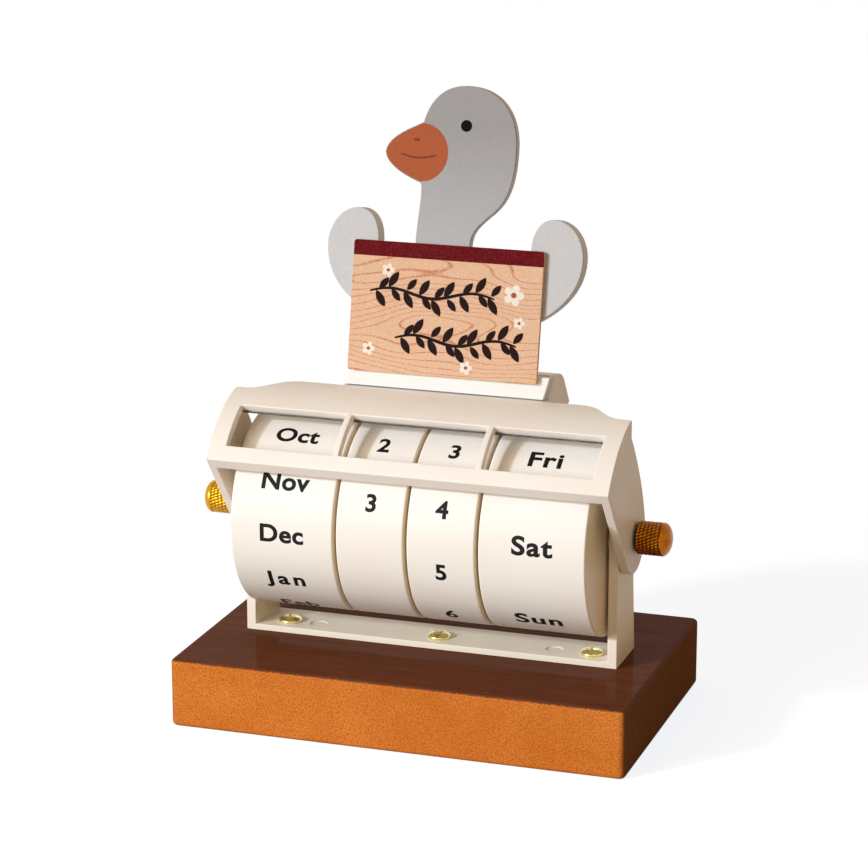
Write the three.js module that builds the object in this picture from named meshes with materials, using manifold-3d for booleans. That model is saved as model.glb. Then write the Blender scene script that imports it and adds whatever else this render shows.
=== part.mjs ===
// Perpetual desk calendar: four printed drums on one axle, carried by a U-shaped frame
// on a wooden base, under a hood with three windows that holds a flat goose figure.
// Millimetres, +X to the right of the reader, +Y to the back, +Z up.
// The origin is the centre of the underside of the base.

import * as THREE from "three";
import { mergeVertices } from "three/addons/utils/BufferGeometryUtils.js";
import Module from "manifold-3d";

const wasm = await Module();
wasm.setup();

// Wooden base
const BASE_WIDTH = 130;
const BASE_DEPTH = 81;
const BASE_HEIGHT = 19.5;
const BASE_EDGE = 1.2;
const BASE_CORNER = 2;

// Frame: one moulding, a floor plate with an upright at each end
const PLATE_THICKNESS = 1.8;
const FRAME_FRONT = 9.6;
const FRAME_REAR = 9.2;
const UPRIGHT_THICKNESS = 2.7;
const UPRIGHT_TOP_RADIUS = 7.6;

// Drums
const DRUM_RADIUS = 28;
const DRUM_WALL = 2;
const DRUM_WEB = 2;
const DRUM_EDGE = 0.4;
const WIDE_DRUM_LENGTH = 29.75;
const NARROW_DRUM_LENGTH = 19.25;
const DRUM_ABOVE_PLATE = 6.2;
const HUB_RADIUS = 4.5;
const CAP_THICKNESS = 2;
const CAP_CLEARANCE = 0.3;

// Axle, its slip washers and its two screw caps
const AXLE_RADIUS = 2;
const AXLE_FORWARD = 2;
const AXLE_SLID_LEFT = 0.9;
const AXLE_END_CLEARANCE = 0.3;
const RUNNING_CLEARANCE = 0.2;
const WASHER_RADIUS = 6;
const WASHER_THICKNESS = 0.4;
const WASHER_CLEARANCE = 0.3;
const KNOB_RADIUS = 4.65;
const KNOB_GRIP_LENGTH = 7.1;
const KNOB_DOME_HEIGHT = 2.5;
const KNOB_CHAMFER = 0.5;
const KNOB_GAP = 1.5;
const KNOB_BORE_DEPTH = 6.2;
const KNOB_BORE_CLEARANCE = 0.15;

// Hood: a curved shell round the drums with a cheek at each end
const HOOD_ABOVE_DRUM = 4.5;
const HOOD_WALL = 2.5;
const HOOD_TO_UPRIGHT = 0.3;
const LIP_ANGLE = 34;
const LIP_DEPTH = 4;
const LIP_BEAD_HEIGHT = 4;
const CHEEK_LOBE_RADIUS = 10.3;
const CHEEK_REAR = 6;
const CHEEK_REAR_HEIGHT = 5;
const CREST_REAR = 3.7;
const CREST_HALF_WIDTH = 39.5;
const CREST_SHOULDER = 15;
const WINDOW_LOW_ANGLE = 41.5;
const WINDOW_HIGH_ANGLE = 65;
const WINDOW_MARGIN = 5.1;
const MULLION_WIDTH = 1.8;
const TONGUE_REAR = 20;

// Holder block on top of the hood, which the figure is taped to
const HOLDER_HALF_WIDTH = 29;
const HOLDER_WALL = 2.5;
const HOLDER_HEIGHT = 6.5;
const HOLDER_TOP_DEPTH = 13;
const HOLDER_FOOT_DEPTH = 22;
const HOLDER_FOOT_DROP = 2;
const HOLDER_ROUND = 3;
const HOLDER_ROOT_DROP = 6;
const HOLDER_ROOT_DEPTH = 11;

// Figure: body with wings, head and sign, all flat plates that lean back together
const LEAN_ANGLE = 10.8;
const FIGURE_BEHIND_AXLE = 3.9;
const BODY_THICKNESS = 5;
const HEAD_THICKNESS = 3;
const GLUE_GAP = 0.3;
const TAPE_THICKNESS = 0.6;
const TAPE_HEIGHT = 5;
const TAPE_MARGIN = 2;
const SIGN_WIDTH = 54.8;
const SIGN_HEIGHT = 36.2;
const SIGN_THICKNESS = 1.3;
const SIGN_CORNER = 0.8;
const SIGN_ABOVE_FOOT = 4.2;
const FOOT_HALF_WIDTH = 29.2;
const FOOT_HEIGHT = 6.2;
const FOOT_SLOPE = 3;
const FOOT_FLARE = 1.6;
const BODY_SIDE_INSET = 2;
const BODY_TOP_DROP = 4;
const WINGS_SLID_RIGHT = 1.1;
const WING_ROOT_HALF_WIDTH = 21.9;
const WING_WIDTH = 15;
const WING_HEIGHT = 30;
const WING_BELOW_SIGN_TOP = 21.2;
const HEAD_WIDTH = 37.7;
const HEAD_HEIGHT = 43.7;
const BILL_REACH = 20.4;
const NECK_LENGTH = 18;

// Wood screws that hold the frame down, and the marks of the mould's ejector pins
const SCREW_FROM_UPRIGHT = 7.1;
const SCREWS_SLID_RIGHT = 1.3;
const SCREW_FORWARD = 4.2;
const SCREW_HEAD_RADIUS = 3.25;
const SCREW_HEAD_HEIGHT = 1.9;
const SCREW_HEAD_RIM = 0.6;
const SCREW_SHANK_RADIUS = 1.5;
const SCREW_LENGTH = 12;
const SCREW_TIP = 3;
const SCREW_HOLE_CLEARANCE = 0.2;
const RECESS_LENGTH = 3.4;
const RECESS_WIDTH = 0.7;
const RECESS_DEPTH = 1.1;
const EJECTOR_SPACING = 34.8;
const EJECTOR_FORWARD = 3.6;
const EJECTOR_RADIUS = 2.4;
const EJECTOR_DEPTH = 0.3;

// Overrun of every cut past the face that it opens
const OVERRUN = 2;

// Sides and steps of the round shapes
const DRUM_SIDES = 48;
const SMALL_SIDES = 24;
const ARC_STEPS = 20;
const ROUND_STEPS = 4;
const CURVE_STEPS = 8;

// Outlines as shares: the cheek's rear curve as shares of the lobe's radius, and the wing and
// the head as shares of their widths and heights, each row one cubic curve
const cheekRearShares = [0.26, 0.26, 0.825, 1.165];
const wingShares = [
  [0.45, 0.12, 0.97, 0.30, 1.00, 0.62],
  [1.02, 0.84, 0.74, 1.00, 0.42, 1.00],
  [0.16, 1.00, 0.00, 0.88, 0.00, 0.70],
];
const headShares = [
  [0.69, 0.10, 0.76, 0.14, 0.86, 0.22],
  [0.97, 0.31, 1.00, 0.44, 1.00, 0.62],
  [1.00, 0.86, 0.84, 1.00, 0.61, 1.00],
  [0.42, 1.00, 0.32, 0.90, 0.28, 0.76],
  [0.16, 0.71, 0.02, 0.66, 0.00, 0.57],
  [0.00, 0.49, 0.14, 0.42, 0.28, 0.38],
  [0.31, 0.34, 0.27, 0.16, 0.27, 0.00],
];
const neckRightShare = 0.69;
const neckLeftShare = 0.27;

// Places that follow from the sizes
const plateTop = BASE_HEIGHT + PLATE_THICKNESS;
const drumGap = WASHER_THICKNESS + 2 * WASHER_CLEARANCE;
const axleY = -AXLE_FORWARD;
const axleZ = plateTop + DRUM_ABOVE_PLATE + DRUM_RADIUS;
const boreRadius = AXLE_RADIUS + RUNNING_CLEARANCE;
const narrowInner = drumGap / 2;
const narrowOuter = narrowInner + NARROW_DRUM_LENGTH;
const wideInner = narrowOuter + drumGap;
const drumsEnd = wideInner + WIDE_DRUM_LENGTH;
const uprightInner = drumsEnd + drumGap;
const uprightOuter = uprightInner + UPRIGHT_THICKNESS;
const cheekInner = uprightOuter + HOOD_TO_UPRIGHT;
const cheekOuter = cheekInner + HOOD_WALL;
const knobFace = cheekOuter + KNOB_GAP;
const hoodInner = DRUM_RADIUS + HOOD_ABOVE_DRUM;
const hoodOuter = hoodInner + HOOD_WALL;
const lean = THREE.MathUtils.degToRad(LEAN_ANGLE);
const footRear = FIGURE_BEHIND_AXLE + BODY_THICKNESS * Math.cos(lean);
const footRearHeight = Math.sqrt(hoodOuter ** 2 - footRear ** 2) + GLUE_GAP;
const figureY = axleY + FIGURE_BEHIND_AXLE;
const figureZ = axleZ + footRearHeight + BODY_THICKNESS * Math.sin(lean);
const signTop = SIGN_ABOVE_FOOT + SIGN_HEIGHT;
const holderFront = BODY_THICKNESS + TAPE_THICKNESS + 2 * GLUE_GAP;
const screwSpacing = uprightInner - SCREW_FROM_UPRIGHT;
const screwPlaces = [-1, 0, 1].map((side) => [SCREWS_SLID_RIGHT + side * screwSpacing, -SCREW_FORWARD]);

// Materials
const plastic = (color, roughness) => new THREE.MeshStandardMaterial({ color, roughness, metalness: 0 });
const metal = (color, roughness) => new THREE.MeshStandardMaterial({ color, roughness, metalness: 1 });
const creamPlastic = plastic(0xf3eadc, 0.5);
const drumPlastic = plastic(0xf8f3ea, 0.55);
const stainedWood = plastic(0x5a3320, 0.3);
const paintedBoard = plastic(0xe4e3e0, 0.75);
const printedBoard = plastic(0xf0bd92, 0.7);
const foam = plastic(0xf4f4f0, 0.9);
const nylon = plastic(0xeeeae0, 0.6);
const brass = metal(0xc98f2e, 0.3);
const yellowSteel = metal(0xd9b55a, 0.3);
const steel = metal(0xb9bcc0, 0.3);

// A geometry as a solid, and a solid as a geometry with flat faces
function solidOf(geometry) {
  const bare = geometry.clone();
  bare.deleteAttribute("normal");
  bare.deleteAttribute("uv");
  const merged = mergeVertices(bare);
  const vertProperties = new Float32Array(merged.attributes.position.array);
  const triVerts = new Uint32Array(merged.index.array);
  return new wasm.Manifold(new wasm.Mesh({ numProp: 3, vertProperties, triVerts }));
}

function geometryOf(solid) {
  const { vertProperties, triVerts } = solid.getMesh();
  const geometry = new THREE.BufferGeometry();
  geometry.setAttribute("position", new THREE.BufferAttribute(vertProperties, 3));
  geometry.setIndex(new THREE.BufferAttribute(triVerts, 1));
  const flat = geometry.toNonIndexed();
  flat.computeVertexNormals();
  return flat;
}

// A box between two corners
function boxBetween(low, high) {
  const size = high.map((value, axis) => value - low[axis]);
  const middle = high.map((value, axis) => (value + low[axis]) / 2);
  return new THREE.BoxGeometry(...size).translate(...middle);
}

function extruded(shape, depth) {
  return new THREE.ExtrudeGeometry(shape, { depth, bevelEnabled: false, curveSegments: CURVE_STEPS });
}

// A side outline, drawn in (Y, Z), as a slab between two places along X
function slabAlongX(shape, from, to) {
  const turn = new THREE.Matrix4().set(
    0, 0, 1, 0,
    1, 0, 0, 0,
    0, 1, 0, 0,
    0, 0, 0, 1,
  );
  return extruded(shape, to - from).applyMatrix4(turn).translate(from, 0, 0);
}

// A front outline, drawn in (X, Z), as a plate whose front face lies at Y = 0
function plateFacing(shape, thickness) {
  return extruded(shape, thickness).rotateX(Math.PI / 2).translate(0, thickness, 0);
}

// Turned pieces: profile points are (radius, place along the axis)
function turned(profile, sides) {
  return new THREE.LatheGeometry(profile.map((point) => new THREE.Vector2(...point)), sides);
}

function turnedAlongX(profile, sides) {
  return turned(profile, sides).rotateZ(-Math.PI / 2);
}

function turnedAlongZ(profile, sides) {
  return turned(profile, sides).rotateX(Math.PI / 2);
}

function rodProfile(radius, from, to) {
  return [[0, from], [radius, from], [radius, to], [0, to]];
}

function ringProfile(inner, outer, from, to) {
  return [[inner, from], [outer, from], [outer, to], [inner, to], [inner, from]];
}

// A point on a circle round the axle; the angle rises from the front over the top
function aroundAxle(radius, degrees) {
  const angle = THREE.MathUtils.degToRad(degrees);
  return new THREE.Vector2(-radius * Math.cos(angle), radius * Math.sin(angle));
}

function arcAroundAxle(radius, fromDegrees, toDegrees) {
  const shares = Array.from({ length: ARC_STEPS + 1 }, (_, step) => step / ARC_STEPS);
  return shares.map((share) => aroundAxle(radius, fromDegrees + (toDegrees - fromDegrees) * share));
}

// Adds rows of cubic curves, each in shares of a width and a height from an origin
function curveThrough(shape, rows, originX, originZ, width, height) {
  for (const row of rows) {
    shape.bezierCurveTo(...row.map((share, index) =>
      index % 2 === 0 ? originX + share * width : originZ + share * height));
  }
}

function roundedRectangle(width, height, corner) {
  const x = width / 2 - corner;
  const y = height / 2 - corner;
  const shape = new THREE.Shape();
  shape.absarc(x, -y, corner, -Math.PI / 2, 0);
  shape.absarc(x, y, corner, 0, Math.PI / 2);
  shape.absarc(-x, y, corner, Math.PI / 2, Math.PI);
  shape.absarc(-x, -y, corner, Math.PI, 1.5 * Math.PI);
  return shape;
}

// Base: a board with rounded corners and edges, and a pilot hole under each screw
function screwHoles(radius, depth, top) {
  const holes = screwPlaces.map(([x, y]) =>
    solidOf(turnedAlongZ(rodProfile(radius, -depth, OVERRUN), SMALL_SIDES).translate(x, y, top)));
  return holes.reduce((all, hole) => all.add(hole));
}

function woodBase() {
  const width = BASE_WIDTH - 2 * BASE_EDGE;
  const depth = BASE_DEPTH - 2 * BASE_EDGE;
  const settings = {
    depth: BASE_HEIGHT - 2 * BASE_EDGE,
    bevelThickness: BASE_EDGE,
    bevelSize: BASE_EDGE,
    bevelSegments: ROUND_STEPS,
    curveSegments: ROUND_STEPS,
  };
  const outline = roundedRectangle(width, depth, BASE_CORNER - BASE_EDGE);
  const board = solidOf(new THREE.ExtrudeGeometry(outline, settings).translate(0, 0, BASE_EDGE));
  const pilotDepth = SCREW_LENGTH - PLATE_THICKNESS + SCREW_HOLE_CLEARANCE;
  const pilots = screwHoles(SCREW_SHANK_RADIUS + SCREW_HOLE_CLEARANCE, pilotDepth, BASE_HEIGHT);
  return geometryOf(board.subtract(pilots));
}

// Frame, from the top of the base
function uprightShape() {
  const top = axleZ - BASE_HEIGHT;
  const shape = new THREE.Shape();
  shape.moveTo(-FRAME_FRONT, 0);
  shape.lineTo(FRAME_REAR, 0);
  shape.absarc(axleY, top, UPRIGHT_TOP_RADIUS, 0, Math.PI);
  return shape;
}

function frameMoulding() {
  const floor = boxBetween([-uprightOuter, -FRAME_FRONT, 0], [uprightOuter, FRAME_REAR, PLATE_THICKNESS]);
  let moulding = solidOf(floor);
  for (const from of [-uprightOuter, uprightInner]) {
    moulding = moulding.add(solidOf(slabAlongX(uprightShape(), from, from + UPRIGHT_THICKNESS)));
  }
  const holes = screwHoles(SCREW_SHANK_RADIUS + SCREW_HOLE_CLEARANCE, plateTop, PLATE_THICKNESS);
  moulding = moulding.subtract(holes).subtract(axleBore().translate(0, 0, -BASE_HEIGHT));
  for (const x of [-EJECTOR_SPACING, EJECTOR_SPACING]) {
    const mark = turnedAlongZ(rodProfile(EJECTOR_RADIUS, -EJECTOR_DEPTH, OVERRUN), SMALL_SIDES);
    moulding = moulding.subtract(solidOf(mark.translate(x, -EJECTOR_FORWARD, PLATE_THICKNESS)));
  }
  return geometryOf(moulding);
}

// The axle's hole through whatever stands round it
function axleBore() {
  const reach = cheekOuter + OVERRUN;
  return solidOf(turnedAlongX(rodProfile(boreRadius, -reach, reach), SMALL_SIDES).translate(0, axleY, axleZ));
}

// Pan-head wood screw with a cross recess; its origin is under the head
function woodScrew() {
  const rise = SCREW_HEAD_HEIGHT - SCREW_HEAD_RIM;
  const crown = Array.from({ length: ROUND_STEPS }, (_, step) => {
    const angle = (step / ROUND_STEPS) * (Math.PI / 2);
    return [SCREW_HEAD_RADIUS * Math.cos(angle), SCREW_HEAD_RIM + rise * Math.sin(angle)];
  });
  const profile = [
    [0, -SCREW_LENGTH],
    [SCREW_SHANK_RADIUS, SCREW_TIP - SCREW_LENGTH],
    [SCREW_SHANK_RADIUS, 0],
    [SCREW_HEAD_RADIUS, 0],
    ...crown,
    [0, SCREW_HEAD_HEIGHT],
  ];
  const half = RECESS_LENGTH / 2;
  const thin = RECESS_WIDTH / 2;
  const floor = SCREW_HEAD_HEIGHT - RECESS_DEPTH;
  const roof = SCREW_HEAD_HEIGHT + OVERRUN;
  const along = solidOf(boxBetween([-half, -thin, floor], [half, thin, roof]));
  const across = solidOf(boxBetween([-thin, -half, floor], [thin, half, roof]));
  return geometryOf(solidOf(turnedAlongZ(profile, SMALL_SIDES)).subtract(along).subtract(across));
}

// Drum: a cup with a hub, closed on its open side by a cap; both run on the axle.
// The open side is at place 0 and the web is at the far end.
function drumCup(length) {
  const web = length - DRUM_WEB;
  const hubEnd = CAP_THICKNESS + CAP_CLEARANCE;
  const profile = [
    [boreRadius, length],
    [boreRadius, hubEnd],
    [HUB_RADIUS, hubEnd],
    [HUB_RADIUS, web],
    [DRUM_RADIUS - DRUM_WALL, web],
    [DRUM_RADIUS - DRUM_WALL, 0],
    [DRUM_RADIUS - DRUM_EDGE, 0],
    [DRUM_RADIUS, DRUM_EDGE],
    [DRUM_RADIUS, length - DRUM_EDGE],
    [DRUM_RADIUS - DRUM_EDGE, length],
    [boreRadius, length],
  ];
  return turnedAlongX(profile, DRUM_SIDES);
}

function drumCap() {
  const rim = DRUM_RADIUS - DRUM_WALL - CAP_CLEARANCE;
  return turnedAlongX(ringProfile(boreRadius, rim, 0, CAP_THICKNESS), DRUM_SIDES);
}

function slipWasher() {
  const half = WASHER_THICKNESS / 2;
  return turnedAlongX(ringProfile(boreRadius, WASHER_RADIUS, -half, half), SMALL_SIDES);
}

// Axle, and the screw cap on each end: a grip with a domed end and a blind bore from its face
function axle() {
  const half = knobFace + KNOB_BORE_DEPTH - AXLE_END_CLEARANCE;
  return turnedAlongX(rodProfile(AXLE_RADIUS, -half, half), SMALL_SIDES);
}

function knob() {
  const bore = AXLE_RADIUS + KNOB_BORE_CLEARANCE;
  const dome = Array.from({ length: ROUND_STEPS }, (_, step) => {
    const angle = (step / ROUND_STEPS) * (Math.PI / 2);
    return [KNOB_RADIUS * Math.cos(angle), KNOB_GRIP_LENGTH + KNOB_DOME_HEIGHT * Math.sin(angle)];
  });
  const profile = [
    [0, KNOB_BORE_DEPTH],
    [bore, KNOB_BORE_DEPTH],
    [bore, 0],
    [KNOB_RADIUS - KNOB_CHAMFER, 0],
    [KNOB_RADIUS, KNOB_CHAMFER],
    ...dome,
    [0, KNOB_GRIP_LENGTH + KNOB_DOME_HEIGHT],
  ];
  return turnedAlongX(profile, SMALL_SIDES);
}

// Hood: its outlines are drawn in (Y, Z) round the axle. The lip's face and the cheeks' front
// edges lie in one plane, which touches the lobes round the axle.
const lipCorner = aroundAxle(hoodOuter, LIP_ANGLE);
const lobeTangentAngle = lipCorner.angle() + Math.acos(CHEEK_LOBE_RADIUS / hoodOuter);
const axisPoint = new THREE.Vector2();
const lobeTangent = new THREE.Vector2(CHEEK_LOBE_RADIUS, 0).rotateAround(axisPoint, lobeTangentAngle);
const lipInner = lobeTangent.clone().sub(lipCorner).setLength(LIP_DEPTH).add(lipCorner);
const cheekTopAngle = 90 - THREE.MathUtils.radToDeg(Math.asin(CHEEK_REAR / hoodOuter));
const tongueAngle = 90 + THREE.MathUtils.radToDeg(Math.asin(TONGUE_REAR / hoodOuter));

function cheekShape() {
  const top = aroundAxle(hoodOuter, cheekTopAngle);
  const rearFoot = top.y - CHEEK_REAR_HEIGHT;
  const [outX, outY, inX, inY] = cheekRearShares.map((share) => share * CHEEK_LOBE_RADIUS);
  const shape = new THREE.Shape(arcAroundAxle(hoodOuter, LIP_ANGLE, cheekTopAngle));
  shape.lineTo(top.x, rearFoot);
  shape.bezierCurveTo(top.x + outX, rearFoot - outY, inX, inY, CHEEK_LOBE_RADIUS, 0);
  shape.absarc(0, 0, CHEEK_LOBE_RADIUS, 0, lobeTangentAngle, true);
  return shape;
}

function shellShape() {
  const beadRadius = lipInner.length();
  const beadLow = 180 - THREE.MathUtils.radToDeg(lipInner.angle());
  const beadHigh = beadLow + THREE.MathUtils.radToDeg(LIP_BEAD_HEIGHT / beadRadius);
  return new THREE.Shape([
    ...arcAroundAxle(hoodOuter, LIP_ANGLE, tongueAngle),
    ...arcAroundAxle(hoodInner, tongueAngle, beadHigh),
    aroundAxle(beadRadius, beadHigh),
    lipInner,
  ]);
}

// Plan of the shell: its rear edge is forward at the cheeks, back at the crest, and runs on as
// a tongue under the holder block
function shellPlan() {
  const shoulder = CREST_HALF_WIDTH + CREST_SHOULDER;
  const middle = CREST_HALF_WIDTH + CREST_SHOULDER / 2;
  const far = cheekOuter + OVERRUN;
  const front = -hoodOuter - OVERRUN;
  const back = TONGUE_REAR + OVERRUN;
  const shape = new THREE.Shape();
  shape.moveTo(-far, front);
  shape.lineTo(far, front);
  shape.lineTo(far, -CHEEK_REAR);
  shape.lineTo(shoulder, -CHEEK_REAR);
  shape.bezierCurveTo(middle, -CHEEK_REAR, middle, CREST_REAR, CREST_HALF_WIDTH, CREST_REAR);
  shape.lineTo(HOLDER_HALF_WIDTH, CREST_REAR);
  shape.lineTo(HOLDER_HALF_WIDTH, back);
  shape.lineTo(-HOLDER_HALF_WIDTH, back);
  shape.lineTo(-HOLDER_HALF_WIDTH, CREST_REAR);
  shape.lineTo(-CREST_HALF_WIDTH, CREST_REAR);
  shape.bezierCurveTo(-middle, CREST_REAR, -middle, -CHEEK_REAR, -shoulder, -CHEEK_REAR);
  shape.lineTo(-far, -CHEEK_REAR);
  return shape;
}

// Holder block in the figure's leaning frame, where Y runs back and Z up the figure. Its rear
// face slopes, so a place on it follows from the height.
function holderRear(height) {
  const slope = (HOLDER_FOOT_DEPTH - HOLDER_TOP_DEPTH) / (HOLDER_HEIGHT + HOLDER_FOOT_DROP);
  return holderFront + HOLDER_TOP_DEPTH + (HOLDER_HEIGHT - height) * slope;
}

function holderShape() {
  const roundHeight = HOLDER_HEIGHT - HOLDER_ROUND * Math.SQRT1_2;
  const shape = new THREE.Shape();
  shape.moveTo(holderFront, -HOLDER_ROOT_DROP);
  shape.lineTo(holderFront + HOLDER_ROOT_DEPTH, -HOLDER_ROOT_DROP);
  shape.lineTo(holderRear(-HOLDER_FOOT_DROP), -HOLDER_FOOT_DROP);
  shape.lineTo(holderRear(roundHeight), roundHeight);
  const topRear = holderRear(HOLDER_HEIGHT);
  shape.quadraticCurveTo(topRear, HOLDER_HEIGHT, topRear - HOLDER_ROUND, HOLDER_HEIGHT);
  shape.lineTo(holderFront, HOLDER_HEIGHT);
  return shape;
}

function holderHollowShape() {
  const front = holderFront + HOLDER_WALL;
  const top = HOLDER_HEIGHT - HOLDER_WALL;
  const low = -HOLDER_ROOT_DROP - OVERRUN;
  const wall = HOLDER_WALL * Math.SQRT2;
  return new THREE.Shape([
    new THREE.Vector2(front, low),
    new THREE.Vector2(holderRear(low) - wall, low),
    new THREE.Vector2(holderRear(top) - wall, top),
    new THREE.Vector2(front, top),
  ]);
}

function holderBlock() {
  const inside = HOLDER_HALF_WIDTH - HOLDER_WALL;
  const leaned = (shape, half) =>
    solidOf(slabAlongX(shape, -half, half).rotateX(-lean).translate(0, figureY, figureZ));
  const underShell = (hoodInner + hoodOuter) / 2;
  const profile = rodProfile(underShell, -cheekOuter, cheekOuter);
  const drumRoom = solidOf(turnedAlongX(profile, DRUM_SIDES).translate(0, axleY, axleZ));
  const hollow = leaned(holderHollowShape(), inside);
  return leaned(holderShape(), HOLDER_HALF_WIDTH).subtract(hollow).subtract(drumRoom);
}

// Each window is cut straight through the shell, square to its middle
function windowCut(from, to) {
  const middle = THREE.MathUtils.degToRad((WINDOW_LOW_ANGLE + WINDOW_HIGH_ANGLE) / 2);
  const halfSpan = THREE.MathUtils.degToRad((WINDOW_HIGH_ANGLE - WINDOW_LOW_ANGLE) / 2);
  const half = hoodOuter * Math.sin(halfSpan);
  const cut = boxBetween([from, -hoodOuter - OVERRUN, -half], [to, -DRUM_RADIUS, half]);
  return solidOf(cut.rotateX(-middle).translate(0, axleY, axleZ));
}

function hoodMoulding() {
  const shell = solidOf(slabAlongX(shellShape(), -cheekOuter, cheekOuter).translate(0, axleY, axleZ));
  const plan = extruded(shellPlan(), hoodOuter + OVERRUN).translate(0, axleY, axleZ);
  let moulding = shell.intersect(solidOf(plan)).add(holderBlock());
  for (const from of [-cheekOuter, cheekInner]) {
    const cheek = slabAlongX(cheekShape(), from, from + HOOD_WALL).translate(0, axleY, axleZ);
    moulding = moulding.add(solidOf(cheek));
  }
  const windowEnd = cheekOuter - WINDOW_MARGIN;
  const mullion = (narrowOuter + wideInner) / 2;
  const half = MULLION_WIDTH / 2;
  const windows = [
    [-windowEnd, -mullion - half],
    [half - mullion, mullion - half],
    [mullion + half, windowEnd],
  ];
  for (const [from, to] of windows) {
    moulding = moulding.subtract(windowCut(from, to));
  }
  return geometryOf(moulding.subtract(axleBore()));
}

// Figure plates: X across and Z up the plate, from the underside of the foot bar
function footShape() {
  const shape = new THREE.Shape();
  shape.moveTo(-FOOT_HALF_WIDTH, 0);
  shape.lineTo(FOOT_HALF_WIDTH, 0);
  shape.lineTo(FOOT_HALF_WIDTH + FOOT_FLARE, FOOT_HEIGHT);
  shape.lineTo(FOOT_SLOPE - FOOT_HALF_WIDTH, FOOT_HEIGHT);
  return shape;
}

function wingShape(side) {
  const root = WINGS_SLID_RIGHT + side * WING_ROOT_HALF_WIDTH;
  const low = signTop - WING_BELOW_SIGN_TOP;
  const shape = new THREE.Shape();
  shape.moveTo(root, low);
  curveThrough(shape, wingShares, root, low, side * WING_WIDTH, WING_HEIGHT);
  return shape;
}

const neckLeft = neckLeftShare * HEAD_WIDTH - BILL_REACH;
const neckRight = neckRightShare * HEAD_WIDTH - BILL_REACH;

function bodyPlate() {
  const plate = (shape) => solidOf(plateFacing(shape, BODY_THICKNESS));
  const side = SIGN_WIDTH / 2 - BODY_SIDE_INSET;
  const top = signTop - BODY_TOP_DROP;
  const trunk = boxBetween([-side, 0, 0], [side, BODY_THICKNESS, top]);
  const notch = boxBetween(
    [neckLeft - GLUE_GAP, -OVERRUN, signTop - NECK_LENGTH - GLUE_GAP],
    [neckRight + GLUE_GAP, BODY_THICKNESS + OVERRUN, signTop],
  );
  const wings = plate(wingShape(-1)).add(plate(wingShape(1)));
  return geometryOf(solidOf(trunk).add(plate(footShape())).add(wings).subtract(solidOf(notch)));
}

function headPlate() {
  const shape = new THREE.Shape();
  shape.moveTo(neckLeft, signTop - NECK_LENGTH);
  shape.lineTo(neckRight, signTop - NECK_LENGTH);
  shape.lineTo(neckRight, signTop);
  curveThrough(shape, headShares, -BILL_REACH, signTop, HEAD_WIDTH, HEAD_HEIGHT);
  return plateFacing(shape, HEAD_THICKNESS);
}

function signBoard() {
  return plateFacing(roundedRectangle(SIGN_WIDTH, SIGN_HEIGHT, SIGN_CORNER), SIGN_THICKNESS);
}

function mountingTape() {
  const half = HOLDER_HALF_WIDTH - TAPE_MARGIN;
  const low = (HOLDER_HEIGHT - TAPE_HEIGHT) / 2;
  return boxBetween([-half, 0, low], [half, TAPE_THICKNESS, low + TAPE_HEIGHT]);
}

// Assembly
function piece(name, geometry, material, x = 0, y = 0, z = 0) {
  const mesh = new THREE.Mesh(geometry, material);
  mesh.name = name;
  mesh.position.set(x, y, z);
  return mesh;
}

function drum(name, length, from) {
  const group = new THREE.Group();
  group.add(piece(name, drumCup(length), drumPlastic, from));
  group.add(piece(`${name}_cap`, drumCap(), drumPlastic, from));
  return group;
}

const calendar = new THREE.Group();
calendar.add(piece("wood_base", woodBase(), stainedWood));
calendar.add(piece("frame", frameMoulding(), creamPlastic, 0, 0, BASE_HEIGHT));
calendar.add(piece("hood", hoodMoulding(), creamPlastic));

const screwNames = ["base_screw_left", "base_screw_middle", "base_screw_right"];
for (const [index, [x, y]] of screwPlaces.entries()) {
  calendar.add(piece(screwNames[index], woodScrew(), yellowSteel, x, y, plateTop));
}

const onAxle = new THREE.Group();
onAxle.position.set(0, axleY, axleZ);
onAxle.add(drum("month_drum", WIDE_DRUM_LENGTH, -drumsEnd));
onAxle.add(drum("tens_drum", NARROW_DRUM_LENGTH, -narrowOuter));
onAxle.add(drum("units_drum", NARROW_DRUM_LENGTH, narrowInner));
onAxle.add(drum("weekday_drum", WIDE_DRUM_LENGTH, wideInner));
const washerPlaces = {
  washer_left: -drumsEnd - drumGap / 2,
  washer_month_tens: -narrowOuter - drumGap / 2,
  washer_tens_units: 0,
  washer_units_weekday: narrowOuter + drumGap / 2,
  washer_right: drumsEnd + drumGap / 2,
};
for (const [name, x] of Object.entries(washerPlaces)) {
  onAxle.add(piece(name, slipWasher(), nylon, x));
}
onAxle.add(piece("axle_rod", axle(), steel, -AXLE_SLID_LEFT));
const leftKnob = piece("left_knob", knob(), brass, -knobFace - AXLE_SLID_LEFT);
leftKnob.rotation.z = Math.PI;
onAxle.add(leftKnob);
onAxle.add(piece("right_knob", knob(), brass, knobFace - AXLE_SLID_LEFT));
calendar.add(onAxle);

const figure = new THREE.Group();
figure.position.set(0, figureY, figureZ);
figure.rotation.x = -lean;
figure.add(piece("body_plate", bodyPlate(), paintedBoard));
figure.add(piece("head_plate", headPlate(), paintedBoard));
const signFront = -SIGN_THICKNESS - GLUE_GAP;
figure.add(piece("sign_board", signBoard(), printedBoard, 0, signFront, SIGN_ABOVE_FOOT + SIGN_HEIGHT / 2));
figure.add(piece("mounting_tape", mountingTape(), foam, 0, BODY_THICKNESS + GLUE_GAP));
calendar.add(figure);

export default calendar;
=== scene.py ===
import math

import bmesh
import bpy
from mathutils import Matrix, Vector
from mathutils.geometry import interpolate_bezier


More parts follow.
